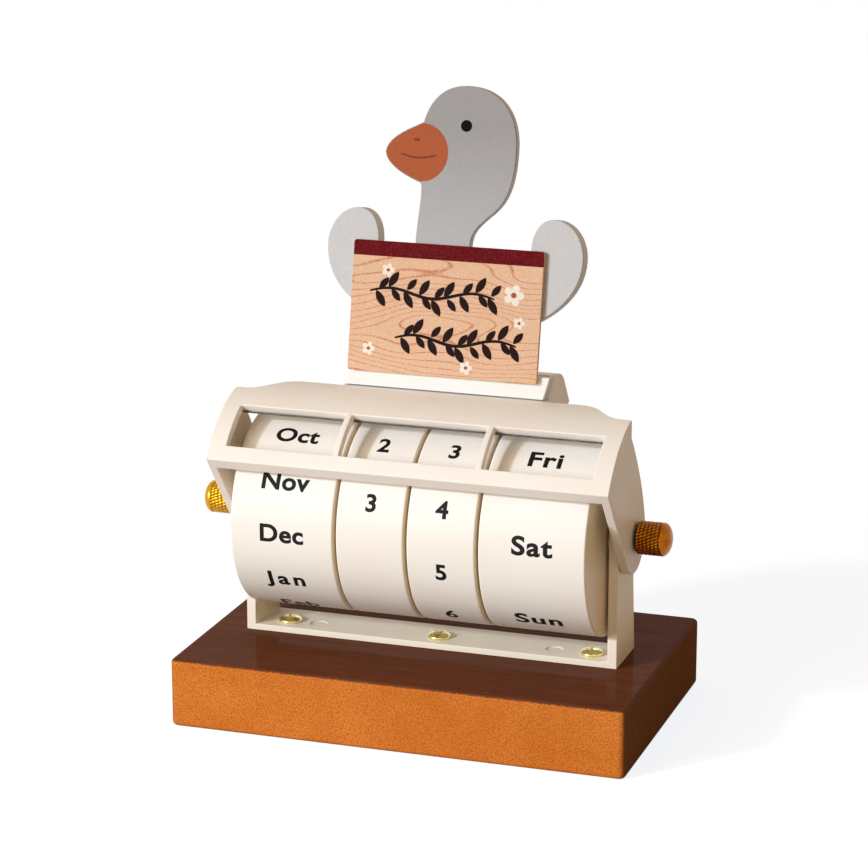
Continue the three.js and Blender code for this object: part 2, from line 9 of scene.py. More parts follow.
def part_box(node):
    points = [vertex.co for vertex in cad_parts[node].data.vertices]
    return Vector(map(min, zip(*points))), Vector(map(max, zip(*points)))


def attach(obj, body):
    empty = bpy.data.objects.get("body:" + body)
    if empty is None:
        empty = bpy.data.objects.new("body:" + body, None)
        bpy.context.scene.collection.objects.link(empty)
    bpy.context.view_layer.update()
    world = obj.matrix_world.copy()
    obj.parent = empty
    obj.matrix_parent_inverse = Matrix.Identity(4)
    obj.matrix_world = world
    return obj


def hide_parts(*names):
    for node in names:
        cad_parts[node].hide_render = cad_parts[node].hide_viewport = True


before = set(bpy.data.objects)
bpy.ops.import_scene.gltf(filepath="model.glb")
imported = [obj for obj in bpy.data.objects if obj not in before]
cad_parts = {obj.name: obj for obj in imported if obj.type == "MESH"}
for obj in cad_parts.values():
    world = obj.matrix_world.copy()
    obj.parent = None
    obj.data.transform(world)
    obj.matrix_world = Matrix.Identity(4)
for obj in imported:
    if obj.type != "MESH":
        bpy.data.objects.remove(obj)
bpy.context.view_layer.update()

MM = 0.001

# Camera
CAMERA_AZIMUTH = math.radians(18.494)
CAMERA_ELEVATION = math.radians(15.434)
CAMERA_DISTANCE = 862.24 * MM
CAMERA_TARGET = Vector((-1.571, 0, 78.877)) * MM
CAMERA_LENS = 129.42

# Lamps
KEY_FROM = Vector((-0.774, -0.891, 0.454))
KEY_STRENGTH = 1.75
KEY_ANGLE = math.radians(5)
KEY_COLOUR = (0.77, 0.885, 1.0)
FILL_PLACE = Vector((-330, -600, 240)) * MM
FILL_SIZE = 260 * MM
FILL_POWER = 2.1
FILL_COLOUR = (0.96, 0.92, 0.88)
GLINT_PLACE = Vector((260, -420, 420)) * MM
GLINT_SIZE = 50 * MM
GLINT_POWER = 0.12
GLINT_COLOUR = (1, 1, 1)
ROOM_COLOUR = (0.38, 0.25, 0.125)
FLOOR_COLOUR = (0.45, 0.40, 0.35, 1)
FLOOR_GLOW = (0.765, 0.825, 0.88, 1)
FLOOR_REACH = 20000 * MM
FLOOR_DROP = 0.05 * MM

# How far a cut runs past a piece, and how near counts as the same place or the same plane
OVERRUN = 2 * MM
SHORT_OVERRUN = 1 * MM
MERGE_GAP = 0.001 * MM
CUT_MERGE_GAP = 0.002 * MM
SLICE_GAP = 0.00001 * MM
TOUCHING = 0.01 * MM
NEAR = 0.1 * MM
FLAT_ANGLE = math.radians(0.5)

# Base
BASE_CORNER = 2 * MM
BASE_CORNER_STEPS = 8
BASE_EDGE = 1.2 * MM
BASE_EDGE_STEPS = 6
TOP_COAT = 0.1
TOP_ROUGHNESS = 0.11
LACQUER_START = 0.75 * MM
LACQUER_FULL = 0.35 * MM
LACQUER_RAGGED = 0.14 * MM
AMBER_START = 0.9 * MM
AMBER_FULL = 0.3 * MM

# Frame
UPRIGHT_THICKNESS = 2.7 * MM
PLATE_THICKNESS = 1.8 * MM
PLATE_REAR = 6.2 * MM
FRAME_EDGE = 0.25 * MM

# Hood, drawn round the axle; its angles rise from the front over the top
HOOD_INNER = 32.5 * MM
HOOD_OUTER = 35 * MM
HOOD_WALL = 2.5 * MM
HOOD_EDGE = 0.35 * MM
LIP_ANGLE = 34
LIP_DEPTH = 4 * MM
LIP_BEAD_HEIGHT = 4 * MM
LOBE_RADIUS = 10.3 * MM
CHEEK_REAR = 6 * MM
CHEEK_REAR_HEIGHT = 5 * MM
CREST_REAR = 3.7 * MM
CREST_HALF_WIDTH = 39.5 * MM
CREST_SHOULDER = 15 * MM
WINDOW_LOW_ANGLE = 41.5
WINDOW_HIGH_ANGLE = 65
WINDOW_MARGIN = 5.1 * MM
WINDOW_DEPTH = 28 * MM
MULLION_PLACE = 20.25 * MM
MULLION_WIDTH = 1.8 * MM
TONGUE_REAR = 20 * MM
ARC_DEGREES = 1.5
ROD_STEPS = 96
cheek_rear_shares = (0.26, 0.26, 0.825, 1.165)

# Holder block on the hood, drawn in the figure's place
HOLDER_HALF_WIDTH = 29 * MM
HOLDER_FRONT = 6.2 * MM
HOLDER_WALL = 2.5 * MM
HOLDER_HEIGHT = 6.5 * MM
HOLDER_TOP_DEPTH = 13 * MM
HOLDER_FOOT_DEPTH = 22 * MM
HOLDER_FOOT_DROP = 2 * MM
HOLDER_ROUND = 3 * MM
HOLDER_ROUND_STEPS = 8
HOLDER_ROOT_DROP = 6 * MM
HOLDER_ROOT_DEPTH = 11 * MM

# Drums and their lettering
DRUM_WALL = 2 * MM
DRUM_WEB = 2 * MM
DRUM_EDGE = 0.5 * MM
DRUM_EDGE_STEPS = 4
DRUM_STEPS = 180
CAP_EDGE = 0.2 * MM
HUB_RADIUS = 4.5 * MM
BORE_RADIUS = 2.2 * MM
HUB_INSET = 2.3 * MM
INK_THICKNESS = 0.03 * MM
INK_SLICE = 0.5 * MM
LETTER_WEIGHT = 0.03
FONT_CAPITAL = 0.682
LETTER_SPACING = 1.06
MONTHS = ["Jan", "Feb", "Mar", "Apr", "May", "Jun", "Jul", "Aug", "Sep", "Oct", "Nov", "Dec"]
WEEKDAYS = ["Fri", "Sat", "Sun", "Mon", "Tue", "Wed", "Thu"]
word_spacing = {"Jan": 1.3, "Jun": 1.3, "Jul": 1.3, "Fri": 1.1, "Sat": 1.12, "Sun": 1.14}
# Each drum's signs, the degrees between them, the number of the one in the window, the window's angle,
# and the capitals' height and their width as a share of the font's
dials = {
    "month": (MONTHS, 30, 9, 59.8, 5.1 * MM, 1.10),
    "tens": ("0123", 36, 2, 58.2, 4.9 * MM, 1.06),
    "units": ("0123456789", 36, 3, 58.2, 4.9 * MM, 1.06),
    "weekday": (WEEKDAYS, 360 / 7, 0, 58.2, 5.3 * MM, 1.18),
}

# Screw caps on the axle's ends
KNOB_RADIUS = 4.65 * MM
KNOB_GRIP = 7.1 * MM
KNOB_DOME = 2.5 * MM
KNOB_BORE = 2.15 * MM
KNOB_BORE_DEPTH = 6.2 * MM
KNOB_CHAMFER = 0.5 * MM
KNURL_DEPTH = 0.32 * MM
KNURL_PITCH = 1.08 * MM
KNURL_ROWS = 30
KNURL_SLANT = 0.5
KNURL_SMOOTH_END = 0.2 * MM
KNURL_STEPS_A_PITCH = 8
RING_DEPTH_SHARE = 0.5
# Painted shade in the knurl's grooves: where it starts below the crests, and where it is full as a share
# of the knurl's depth
GROOVE_SHADE_START = 0.06 * MM
GROOVE_SHADE_SHARE = 0.8
KNOB_STEPS = 240
DOME_STEPS = 14
WASHER_EDGE = 0.08 * MM

# Wood screws
SCREW_RADIUS = 3.25 * MM
SCREW_HEAD = 1.9 * MM
SCREW_CROWN = 1.6 * MM
SCREW_RIM = 0.6 * MM
SCREW_SHANK = 1.5 * MM
SCREW_LENGTH = 12 * MM
SCREW_TIP = 3 * MM
RECESS_LENGTH = 4.2 * MM
RECESS_WIDTH = 1.1 * MM
RECESS_DEPTH = 1.1 * MM
RECESS_FLOOR_SHARE = 0.6
SCREW_EDGE = 0.08 * MM
SCREW_STEPS = 64
CROWN_STEPS = 10
SCREW_TURNS = {"left": 18, "middle": 52, "right": 7}

# Figure: plates that lean back together; X across, Y back and Z up the plates
LEAN = math.radians(10.8)
BODY_THICKNESS = 5 * MM
HEAD_THICKNESS = 3 * MM
SIGN_WIDTH = 54.8 * MM
SIGN_HEIGHT = 36.2 * MM
SIGN_THICKNESS = 1.3 * MM
SIGN_CORNER = 0.8 * MM
SIGN_EDGE = 0.12 * MM
BAND_FADE = 0.05 * MM
FRONT_TONE_START = 0.02 * MM
FRONT_TONE_FULL = 0.12 * MM
PRINT_STRETCH = (26, 1, 74)
PRINT_RINGS = 400.0
PRINT_SWIRL = 14.0
SIGN_LOW = 4.2 * MM
SIGN_BAND = 4.2 * MM
GLUE_GAP = 0.3 * MM
FOOT_HALF_WIDTH = 29.2 * MM
FOOT_HEIGHT = 6.2 * MM
FOOT_SLOPE = 3 * MM
FOOT_FLARE = 1.6 * MM
BODY_SIDE_INSET = 2 * MM
BODY_TOP_DROP = 4 * MM
WINGS_SLID_RIGHT = 1.1 * MM
WING_ROOT_HALF_WIDTH = 21.9 * MM
WING_WIDTH = 15 * MM
WING_HEIGHT = 30 * MM
WING_BELOW_SIGN_TOP = 21.2 * MM
HEAD_WIDTH = 37.7 * MM
HEAD_HEIGHT = 43.7 * MM
BILL_REACH = 20.4 * MM
NECK_LENGTH = 18 * MM
PLATE_EDGE = 0.35 * MM
# Heights of the painted light on the figure: the neck's paler grey up to here, the crown's painted shade
# from here, and the fade from the foot's whiter painted light
NECK_LIGHT_TOP = 42 * MM
HEAD_SHADE_LOW = 72 * MM
FOOT_LIGHT_FADE = 0.3 * MM
# Painted light on the figure's plate edges: where it starts behind the front face and where it is full
EDGE_LIGHT_START = 0.2 * MM
EDGE_LIGHT_FULL = 0.6 * MM
TAPE_EDGE = 0.1 * MM
PAINT_THICKNESS = 0.05 * MM
PAINT_STEP = 0.008 * MM
BILL_CHEEK = 7.6 * MM
MOUTH_LENGTH = 10.2 * MM
MOUTH_WIDTH = 0.55 * MM
MOUTH_SAG = 0.9 * MM
MOUTH_SHIFT = 4.2 * MM
MOUTH_DROP = 0.6 * MM
NOSTRIL_FROM_CHEEK = Vector((-1.6, 3.4)) * MM
NOSTRIL_HALF_WIDTH = 0.95 * MM
NOSTRIL_HALF_HEIGHT = 0.4 * MM
EYE_PLACE = Vector((2.6, 73.2)) * MM
EYE_RADIUS = 1.6 * MM
PAINT_INSET = 0.3 * MM
STROKE_END_SHARE = 0.35
STROKE_SWELL = 0.4
CURVE_STEPS = 18
CHEEK_STEPS = 16
MOUTH_STEPS = 12

# Sprigs and flowers on the sign
SPRIG_STEM = 0.9 * MM
SPRIG_WAVE = 1.1 * MM
SPRIG_HALF_WAVES = 3
SPRIG_STEPS = 40
SPRIG_LEAVES = 9
SPRIG_BARE_STEPS = 2
LEAF_FOOT = 0.27 * MM
LARGE_LEAF_ANGLE = 58
LARGE_LEAF_SIZE = (5.2 * MM, 2.184 * MM)
SMALL_LEAF_ANGLE = 50
SMALL_LEAF_SIZE = (4.16 * MM, 1.872 * MM)
LEAF_SWELL = 0.8
LEAF_STEPS = 9
PETALS = 5
PETAL_ROOT_SHARE = 0.55
PETAL_SWELL = 0.7
FLOWER_STEPS = 60
FLOWER_CENTRE_SHARE = 0.25
FLOWER_CENTRE_STEPS = 20
# Millimetres: a sprig's start and end across and its height, and a flower's place and radius
sprig_rows = ((-22, 14, 26.5), (-14, 21, 14))
flowers = ((-17, 32.5, 1.9), (-21.5, 10.5, 1.9), (7, 7.2, 1.9), (19.5, 28, 3.0), (21.5, 20.5, 1.7))

# Outlines as shares of a width and a height, each row one cubic curve
wing_shares = [
    (0.45, 0.12, 0.97, 0.30, 1.00, 0.62),
    (1.02, 0.84, 0.74, 1.00, 0.42, 1.00),
    (0.16, 1.00, 0.00, 0.88, 0.00, 0.70),
]
head_shares = [
    (0.69, 0.10, 0.76, 0.14, 0.86, 0.22),
    (0.97, 0.31, 1.00, 0.44, 1.00, 0.62),
    (1.00, 0.86, 0.84, 1.00, 0.61, 1.00),
    (0.42, 1.00, 0.32, 0.90, 0.28, 0.76),
    (0.16, 0.71, 0.02, 0.66, 0.00, 0.57),
    (0.00, 0.49, 0.14, 0.42, 0.28, 0.38),
    (0.31, 0.34, 0.27, 0.16, 0.27, 0.00),
]
neck_right_share = 0.69
neck_left_share = 0.27

# Places read from the frame
axle_low, axle_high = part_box("axle_rod")
AXLE = (Vector(axle_low) + Vector(axle_high)) / 2
body_low = Vector(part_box("body_plate")[0])
FIGURE = Vector((0, body_low.y, body_low.z + BODY_THICKNESS * math.sin(LEAN)))
SIGN_TOP = SIGN_LOW + SIGN_HEIGHT


# Camera, lamps and floor

def added(name, data):
    """A new object in the scene."""
    made = bpy.data.objects.new(name, data)
    bpy.context.scene.collection.objects.link(made)
    return made


def place_camera():
    data = bpy.data.cameras.new("camera")
    data.lens = CAMERA_LENS
    data.clip_start = 10 * MM
    camera = added("camera", data)
    level = math.cos(CAMERA_ELEVATION)
    outward = Vector((math.sin(CAMERA_AZIMUTH) * level, -math.cos(CAMERA_AZIMUTH) * level,
                      math.sin(CAMERA_ELEVATION)))
    camera.location = CAMERA_TARGET + outward * CAMERA_DISTANCE
    camera.rotation_euler = (-outward).to_track_quat("-Z", "Y").to_euler()
    bpy.context.scene.camera = camera


def place_lamp(name, kind, backward, power, colour):
    """A lamp that shines away from a direction."""
    data = bpy.data.lights.new(name, kind)
    data.energy = power
    data.color = colour
    lamp = added(name, data)
    lamp.rotation_euler = backward.to_track_quat("Z", "Y").to_euler()
    return lamp


def place_key_lamp():
    lamp = place_lamp("key_lamp", "SUN", KEY_FROM, KEY_STRENGTH, KEY_COLOUR)
    lamp.data.angle = KEY_ANGLE


def place_disk_lamp(name, place, size, power, colour):
    """A round lamp that looks at the axle."""
    lamp = place_lamp(name, "AREA", place - AXLE, power, colour)
    lamp.location = place
    lamp.data.shape = "DISK"
    lamp.data.size = size


def paint(red, green, blue):
    """A colour from its 0 to 255 screen values, as linear RGBA."""
    shares = [value / 255 for value in (red, green, blue)]
    linear = [s / 12.92 if s <= 0.04045 else ((s + 0.055) / 1.055) ** 2.4 for s in shares]
    return (*linear, 1.0)


def node(tree, kind, inputs=(), **settings):
    """A shader node with its settings, and its inputs given as (name or index, value or socket)."""
    made = tree.nodes.new("ShaderNode" + kind)
    for name, value in settings.items():
        setattr(made, name, value)
    for name, value in inputs:
        if isinstance(value, bpy.types.NodeSocket):
            tree.links.new(value, made.inputs[name])
        else:
            made.inputs[name].default_value = value
    return made


def emptied_tree(owner):
    """The node tree of a material or world, with nothing in it yet."""
    owner.use_nodes = True
    owner.node_tree.nodes.clear()
    return owner.node_tree


def reckoned(tree, operation, *values):
    """What a Math node makes of its values, each a socket or a number."""
    return node(tree, "Math", enumerate(values), operation=operation).outputs[0]


def seen_directly(tree):
    """1 for rays that look at the set itself, in a mirror or through glass too."""
    rays = node(tree, "LightPath").outputs
    first = reckoned(tree, "MAXIMUM", rays["Is Camera Ray"], rays["Is Glossy Ray"])
    return reckoned(tree, "MAXIMUM", first, rays["Is Transmission Ray"])


def light_the_room():
    world = bpy.data.worlds.new("studio")
    tree = emptied_tree(world)
    room = blended(tree, seen_directly(tree), (*ROOM_COLOUR, 1), WHITE)
    background = node(tree, "Background", [("Color", room)])
    node(tree, "OutputWorld", [("Surface", background.outputs[0])])
    bpy.context.scene.world = world


def lay_floor():
    material = bpy.data.materials.new("pale_floor")
    tree = emptied_tree(material)
    matt = node(tree, "BsdfPrincipled", [("Base Color", FLOOR_COLOUR), ("Roughness", 0.9),
                                         ("Specular IOR Level", 0.0)])
    glow = node(tree, "Emission", [("Color", FLOOR_GLOW), ("Strength", seen_directly(tree))])
    both = node(tree, "AddShader", [(0, matt.outputs[0]), (1, glow.outputs[0])])
    node(tree, "OutputMaterial", [("Surface", both.outputs[0])])
    shape = bmesh.new()
    bmesh.ops.create_grid(shape, x_segments=1, y_segments=1, size=FLOOR_REACH)
    bmesh.ops.translate(shape, verts=shape.verts, vec=(0, 0, -FLOOR_DROP))
    floor = object_of("floor", shape)
    floor.data.materials.append(material)


# Effects shared by the materials

WHITE = (1, 1, 1, 1)
output_kinds = {"Colour": "Color", "Normal": "Vector", "Roughness": "Float", "Mask": "Float"}
# For each kind of value, a Mix node's first input and its output
mix_sockets = {"FLOAT": (2, 0), "VECTOR": (4, 1), "RGBA": (6, 2)}


def start_group(name, outputs, **inputs):
    """A node group, the sockets of what it is given and the node that takes its results."""
    group = bpy.data.node_groups.new(name, "ShaderNodeTree")
    for label, value in inputs.items():
        kind = "Color" if value == WHITE else "Float"
        socket = group.interface.new_socket(label, in_out="INPUT", socket_type="NodeSocket" + kind)
        socket.default_value = value
    for label in outputs:
        kind = output_kinds[label]
        group.interface.new_socket(label, in_out="OUTPUT", socket_type="NodeSocket" + kind)
    return group, group.nodes.new("NodeGroupInput").outputs, group.nodes.new("NodeGroupOutput")


def blended(tree, factor, first, second, kind="RGBA"):
    """What lies between two colours, numbers or vectors, each a socket or a value."""
    low, out = mix_sockets[kind]
    mix = node(tree, "Mix", [("Factor", factor), (low, first), (low + 1, second)], data_type=kind)
    return mix.outputs[out]


def ramped(tree, value, low, high, start=0.0, end=1.0):
    ramp = node(tree, "MapRange", [("Value", value), ("From Min", low), ("From Max", high),
                                   ("To Min", start), ("To Max", end)])
    return ramp.outputs["Result"]


def noise(tree, place, scale, detail, roughness=0.5):
    made = node(tree, "TexNoise", [("Vector", place), ("Scale", scale), ("Detail", detail),
                                   ("Roughness", roughness)])
    return made.outputs["Fac"]


def bumped(tree, height, depth):
    """The normal of a surface that a height from 0 to 1 roughens to a depth."""
    return node(tree, "Bump", [("Height", height), ("Distance", depth), ("Strength", 1.0)]).outputs[0]


def split(tree, place):
    """The X, Y and Z of a place."""
    return node(tree, "SeparateXYZ", [("Vector", place)]).outputs


def link(tree, taker, **sockets):
    """Links sockets to the inputs of a node; keyword names take _ for a space."""
    for label, socket in sockets.items():
        tree.links.new(socket, taker.inputs[label.replace("_", " ")])


def object_place(tree, scale=(1, 1, 1), turn=(0, 0, 0), shift=(0, 0, 0)):
    """Object coordinates, stretched, turned and shifted in that order."""
    source = node(tree, "TexCoord")
    mapped = node(tree, "Mapping", [("Vector", source.outputs["Object"]), ("Scale", scale),
                                    ("Rotation", turn), ("Location", shift)])
    return mapped.outputs[0]


def make_moulded_skin():
    """Moulded plastic: slow drift between two tones, fine grain in the surface, uneven sheen."""
    group, given, result = start_group("moulded_skin", ("Colour", "Roughness", "Normal"), Colour=WHITE,
                                       Shade=WHITE, Grain=2500.0, Depth=0.01 * MM, Sheen=0.45)
    place = object_place(group)
    drift = noise(group, place, scale=38.0, detail=3.0)
    tone = blended(group, ramped(group, drift, 0.35, 0.75), given["Colour"], given["Shade"])
    grain = noise(group, place, scale=given["Grain"], detail=2.0)
    rub = noise(group, place, scale=160.0, detail=4.0)
    swing = ramped(group, rub, 0.3, 0.7, -0.06, 0.06)
    link(group, result, Colour=tone, Roughness=reckoned(group, "ADD", given["Sheen"], swing),
         Normal=bumped(group, grain, given["Depth"]))
    return group


def make_fleck():
    """Sprayed paint or pressed fibre: a fine fleck in a second tone, and its orange peel."""
    group, given, result = start_group("fleck", ("Colour", "Normal"), Colour=WHITE, Fleck=WHITE,
                                       Size=2200.0, Amount=0.5, Depth=0.02 * MM)
    fine = noise(group, object_place(group), scale=given["Size"], detail=2.0, roughness=0.6)
    share = reckoned(group, "MULTIPLY", ramped(group, fine, 0.42, 0.66), given["Amount"])
    link(group, result, Colour=blended(group, share, given["Colour"], given["Fleck"]),
         Normal=bumped(group, fine, given["Depth"]))
    return group


def make_dust():
    """A mask of small scattered specks."""
    group, given, result = start_group("dust", ("Mask",), Spacing=300.0, Share=0.08)
    cells = node(group, "TexVoronoi", [("Vector", object_place(group)), ("Scale", given["Spacing"])])
    small = ramped(group, cells.outputs["Distance"], 0.10, 0.05)
    pick = node(group, "SeparateColor", [("Color", cells.outputs["Color"])])
    chosen = reckoned(group, "LESS_THAN", pick.outputs["Red"], given["Share"])
    link(group, result, Mask=reckoned(group, "MULTIPLY", small, chosen))
    return group


def make_handled_metal():
    """Plated metal: slow tarnish between two tones, with fine scratches in the gloss."""
    group, given, result = start_group("handled_metal", ("Colour", "Roughness", "Normal"), Colour=WHITE,
                                       Tarnish=WHITE, Gloss=0.25)
    place = object_place(group)
    cloud = noise(group, place, scale=420.0, detail=4.0)
    tone = blended(group, ramped(group, cloud, 0.42, 0.72), given["Colour"], given["Tarnish"])
    swing = ramped(group, cloud, 0.3, 0.7, -0.05, 0.12)
    scratches = noise(group, place, scale=5000.0, detail=2.0)
    link(group, result, Colour=tone, Roughness=reckoned(group, "ADD", given["Gloss"], swing),
         Normal=bumped(group, scratches, 0.004 * MM))
    return group


moulded_skin = make_moulded_skin()
fleck = make_fleck()
dust = make_dust()
handled_metal = make_handled_metal()


# Materials

def start_material(name, **shader_values):
    """A material with one Principled shader; keyword names take _ for a space."""
    material = bpy.data.materials.new(name)
    tree = emptied_tree(material)
    shader = node(tree, "BsdfPrincipled")
    for label, value in shader_values.items():
        shader.inputs[label.replace("_", " ")].default_value = value
    node(tree, "OutputMaterial", [("Surface", shader.outputs[0])])
    return material, tree, shader


def effect(tree, group, **inputs):
    """What an effect puts out for its inputs, each a socket or a value."""
    return node(tree, "Group", inputs.items(), node_tree=group).outputs


def dress(tree, shader, skin, tone=None):
    """Gives the shader an effect's skin, in its own colour or in another tone."""
    link(tree, shader, Base_Color=tone or skin["Colour"], Roughness=skin["Roughness"],
         Normal=skin["Normal"])


def plastic(name, colour, shade, sheen, grain=2600.0, depth=0.01 * MM, ends=None):
    """Moulded plastic; ends, where given, is a tan on the faces square to the axle, painted shade for the
    gaps between drums.
    """
    material, tree, shader = start_material(name, IOR=1.46, Specular_IOR_Level=0.3)
    skin = effect(tree, moulded_skin, Colour=colour, Shade=shade, Grain=grain, Depth=depth, Sheen=sheen)
    tone = None
    if ends:
        # Painted shade: the faces square to the axle take the ends tone
        facing = split(tree, node(tree, "TexCoord").outputs["Normal"])
        square = reckoned(tree, "ABSOLUTE", facing["X"])
        tone = blended(tree, ramped(tree, square, 0.7, 0.95), skin["Colour"], ends)
    dress(tree, shader, skin, tone)
    return material


def metal(name, colour, tarnish, gloss):
    material, tree, shader = start_material(name, Metallic=1.0)
    skin = effect(tree, handled_metal, Colour=colour, Tarnish=tarnish, Gloss=gloss)
    dress(tree, shader, skin)
    return material


def knob_brass(side, colour, tarnish, groove_shade, gloss):
    """Brass of a cap nut, with painted shade between the beads of its grip."""
    material, tree, shader = start_material(side + "_brass", Metallic=1.0)
    skin = effect(tree, handled_metal, Colour=colour, Tarnish=tarnish, Gloss=gloss)
    off_axle = object_place(tree, scale=(0, 1, 1), shift=(0, -AXLE.y, -AXLE.z))
    radius = node(tree, "VectorMath", [(0, off_axle)], operation="LENGTH")
    # Painted shade: the brass turns towards the groove colour where the knurl sinks below its crests, on
    # the grip only
    sunk = ramped(tree, radius.outputs["Value"], KNOB_RADIUS - GROOVE_SHADE_START,
                  KNOB_RADIUS - GROOVE_SHADE_SHARE * KNURL_DEPTH)
    out = reckoned(tree, "ABSOLUTE", split(tree, object_place(tree))["X"])
    grip_end = max(abs(corner[0]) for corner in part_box(side + "_knob")) - KNOB_DOME
    groove_shade_mask = reckoned(tree, "MULTIPLY", sunk, ramped(tree, out, grip_end, grip_end - KNURL_SMOOTH_END))
    dress(tree, shader, skin, blended(tree, groove_shade_mask, skin["Colour"], groove_shade))
    return material


def painted(name, colour, speck, size=2600.0, amount=0.5, depth=0.01 * MM, roughness=0.5, specular=0.2):
    material, tree, shader = start_material(name, Roughness=roughness, IOR=1.45,
                                            Specular_IOR_Level=specular)
    coat = effect(tree, fleck, Colour=colour, Fleck=speck, Size=size, Amount=amount, Depth=depth)
    link(tree, shader, Base_Color=coat["Colour"], Normal=coat["Normal"])
    return material


cream_plastic = plastic("cream_plastic", paint(247, 244, 240), paint(245, 240, 233), 0.46)
# The frame's cream is warmer than the hood's: partly a separate moulding, partly painted warm bounce
# light on its floor plate
frame_plastic = plastic("frame_plastic", paint(250, 244, 230), paint(247, 239, 223), 0.46)
# The drums' faces square to the axle are painted tan, as painted shade in the gaps between drums
drum_plastic = plastic("drum_plastic", paint(248, 246, 242), paint(246, 242, 236), 0.40, grain=4200.0,
                       depth=0.004 * MM, ends=paint(246, 232, 206))
washer_nylon = plastic("washer_nylon", paint(236, 208, 160), paint(224, 194, 146), 0.5, grain=3000.0,
                       depth=0.006 * MM)
tape_foam = painted("tape_foam", paint(240, 238, 232), paint(214, 210, 202), size=1600.0, amount=0.7,
                    depth=0.08 * MM, roughness=0.9)
# Painted light: both cap nuts are one brass, given as a lit yellow copy on the left and a shaded amber
# copy on the right
left_brass_lit = knob_brass("left", paint(214, 160, 38), paint(184, 122, 22), paint(92, 54, 10), 0.22)
right_brass_shaded = knob_brass("right", paint(162, 92, 18), paint(130, 66, 12), paint(44, 18, 4), 0.22)
screw_brass = metal("screw_brass", paint(248, 234, 172), paint(222, 200, 128), 0.24)
axle_steel = metal("axle_steel", paint(190, 192, 196), paint(158, 158, 160), 0.28)
label_ink = painted("label_ink", paint(8, 8, 10), paint(18, 18, 22), size=5200.0, depth=0.004 * MM,
                    roughness=0.6)
bill_paint = painted("bill_paint", paint(169, 82, 35), paint(148, 66, 27), size=2300.0, depth=0.02 * MM)
bill_line_paint = painted("bill_line_paint", paint(118, 46, 20), paint(100, 38, 16), size=2300.0,
                          depth=0.02 * MM)
eye_paint = painted("eye_paint", paint(10, 8, 10), paint(22, 20, 22), specular=0.03)
sprig_paint = painted("sprig_paint", paint(30, 16, 16), paint(54, 36, 34), roughness=0.6, specular=0.05)
flower_paint = painted("flower_paint", paint(238, 230, 222), paint(222, 210, 198))


def figure_place(tree):
    """Coordinates in the figure's own place, upright, from its foot."""
    back = Matrix.Rotation(LEAN, 3, "X") @ FIGURE
    return object_place(tree, turn=(LEAN, 0, 0), shift=-back)


def plate_coat(name, low, low_fleck, high, high_fleck, start, end):
    """Sprayed grey on one of the figure's plates: one tone up to start, another from end on up, the
    change being painted light that falls off with height; on the plate's edges and back the paler board,
    lifted as painted light against their shade."""
    material, tree, shader = start_material(name, Roughness=0.6, IOR=1.45, Specular_IOR_Level=0.2)
    local = split(tree, figure_place(tree))
    rise = ramped(tree, local["Z"], start, end)
    coat = effect(tree, fleck, Colour=blended(tree, rise, low, high),
                  Fleck=blended(tree, rise, low_fleck, high_fleck), Size=2300.0, Amount=0.5,
                  Depth=0.03 * MM)
    # Painted light: the edges and back turn a pale bluish white against the shade they fall in
    behind = ramped(tree, local["Y"], EDGE_LIGHT_START, EDGE_LIGHT_FULL)
    link(tree, shader, Base_Color=blended(tree, behind, coat["Colour"], paint(232, 238, 250)),
         Normal=coat["Normal"])
    return material


# Painted light: the head is greyer than the wings and darker towards the crown, as painted shade where
# the light falls off upward, and the foot is whiter than the wings
head_paint_with_painted_shade = plate_coat("head_paint_with_painted_shade", paint(180, 182, 187), paint(165, 166, 170), paint(157, 156, 158),
                        paint(143, 142, 144), NECK_LIGHT_TOP, HEAD_SHADE_LOW)
wing_paint_with_painted_light = plate_coat("wing_paint_with_painted_light", paint(240, 240, 240), paint(230, 230, 230), paint(202, 204, 207),
                        paint(184, 186, 189), FOOT_HEIGHT, FOOT_HEIGHT + FOOT_LIGHT_FADE)


def stained_board():
    """Pressed board: dark lacquer on top, amber stain on the long sides, and on the ends a darker brown
    as painted shade.
    """
    material, tree, shader = start_material("stained_board", IOR=1.45, Specular_IOR_Level=0.0,
                                            Coat_Roughness=0.06)
    high = Vector(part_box("wood_base")[1])
    place = object_place(tree)
    local = split(tree, place)
    depth = reckoned(tree, "ABSOLUTE", local["Y"])
    long_side = ramped(tree, depth, high.y - AMBER_START, high.y - AMBER_FULL)
    ragged = noise(tree, place, scale=2000.0, detail=2.0)
    lift = ramped(tree, ragged, 0.3, 0.7, -LACQUER_RAGGED, LACQUER_RAGGED)
    height = reckoned(tree, "ADD", local["Z"], lift)
    on_top = ramped(tree, height, high.z - LACQUER_START, high.z - LACQUER_FULL)

    drawn_out = object_place(tree, scale=(12, 160, 160))
    streak = noise(tree, drawn_out, scale=4.0, detail=6.0, roughness=0.65)
    grain = ramped(tree, streak, 0.3, 0.7)
    walnut = blended(tree, grain, paint(112, 65, 42), paint(92, 52, 33))
    # Painted shade: the ends carry the long sides' stain, darkened to brown
    ends = blended(tree, grain, paint(132, 93, 68), paint(114, 80, 58))
    cloud = noise(tree, place, scale=55.0, detail=3.0)
    amber = blended(tree, ramped(tree, cloud, 0.35, 0.7), paint(226, 138, 62), paint(210, 120, 46))
    fibre = effect(tree, fleck, Colour=amber, Fleck=paint(166, 86, 30), Size=2300.0, Amount=0.8,
                   Depth=0.03 * MM)
    # The ends get the painted shade, the long sides the amber
    sides = blended(tree, long_side, ends, fibre["Colour"])
    specks = effect(tree, dust, Spacing=420.0, Share=0.05)
    dusty = blended(tree, specks["Mask"], walnut, paint(150, 118, 98))

    matt = ramped(tree, long_side, 0, 1, 0.30, 0.46)
    even = node(tree, "NewGeometry").outputs["Normal"]
    link(tree, shader, Base_Color=blended(tree, on_top, sides, dusty),
         Roughness=blended(tree, on_top, matt, TOP_ROUGHNESS, "FLOAT"),
         Coat_Weight=ramped(tree, on_top, 0, 1, 0, TOP_COAT),
         Normal=blended(tree, on_top, fibre["Normal"], even, "VECTOR"))
    return material


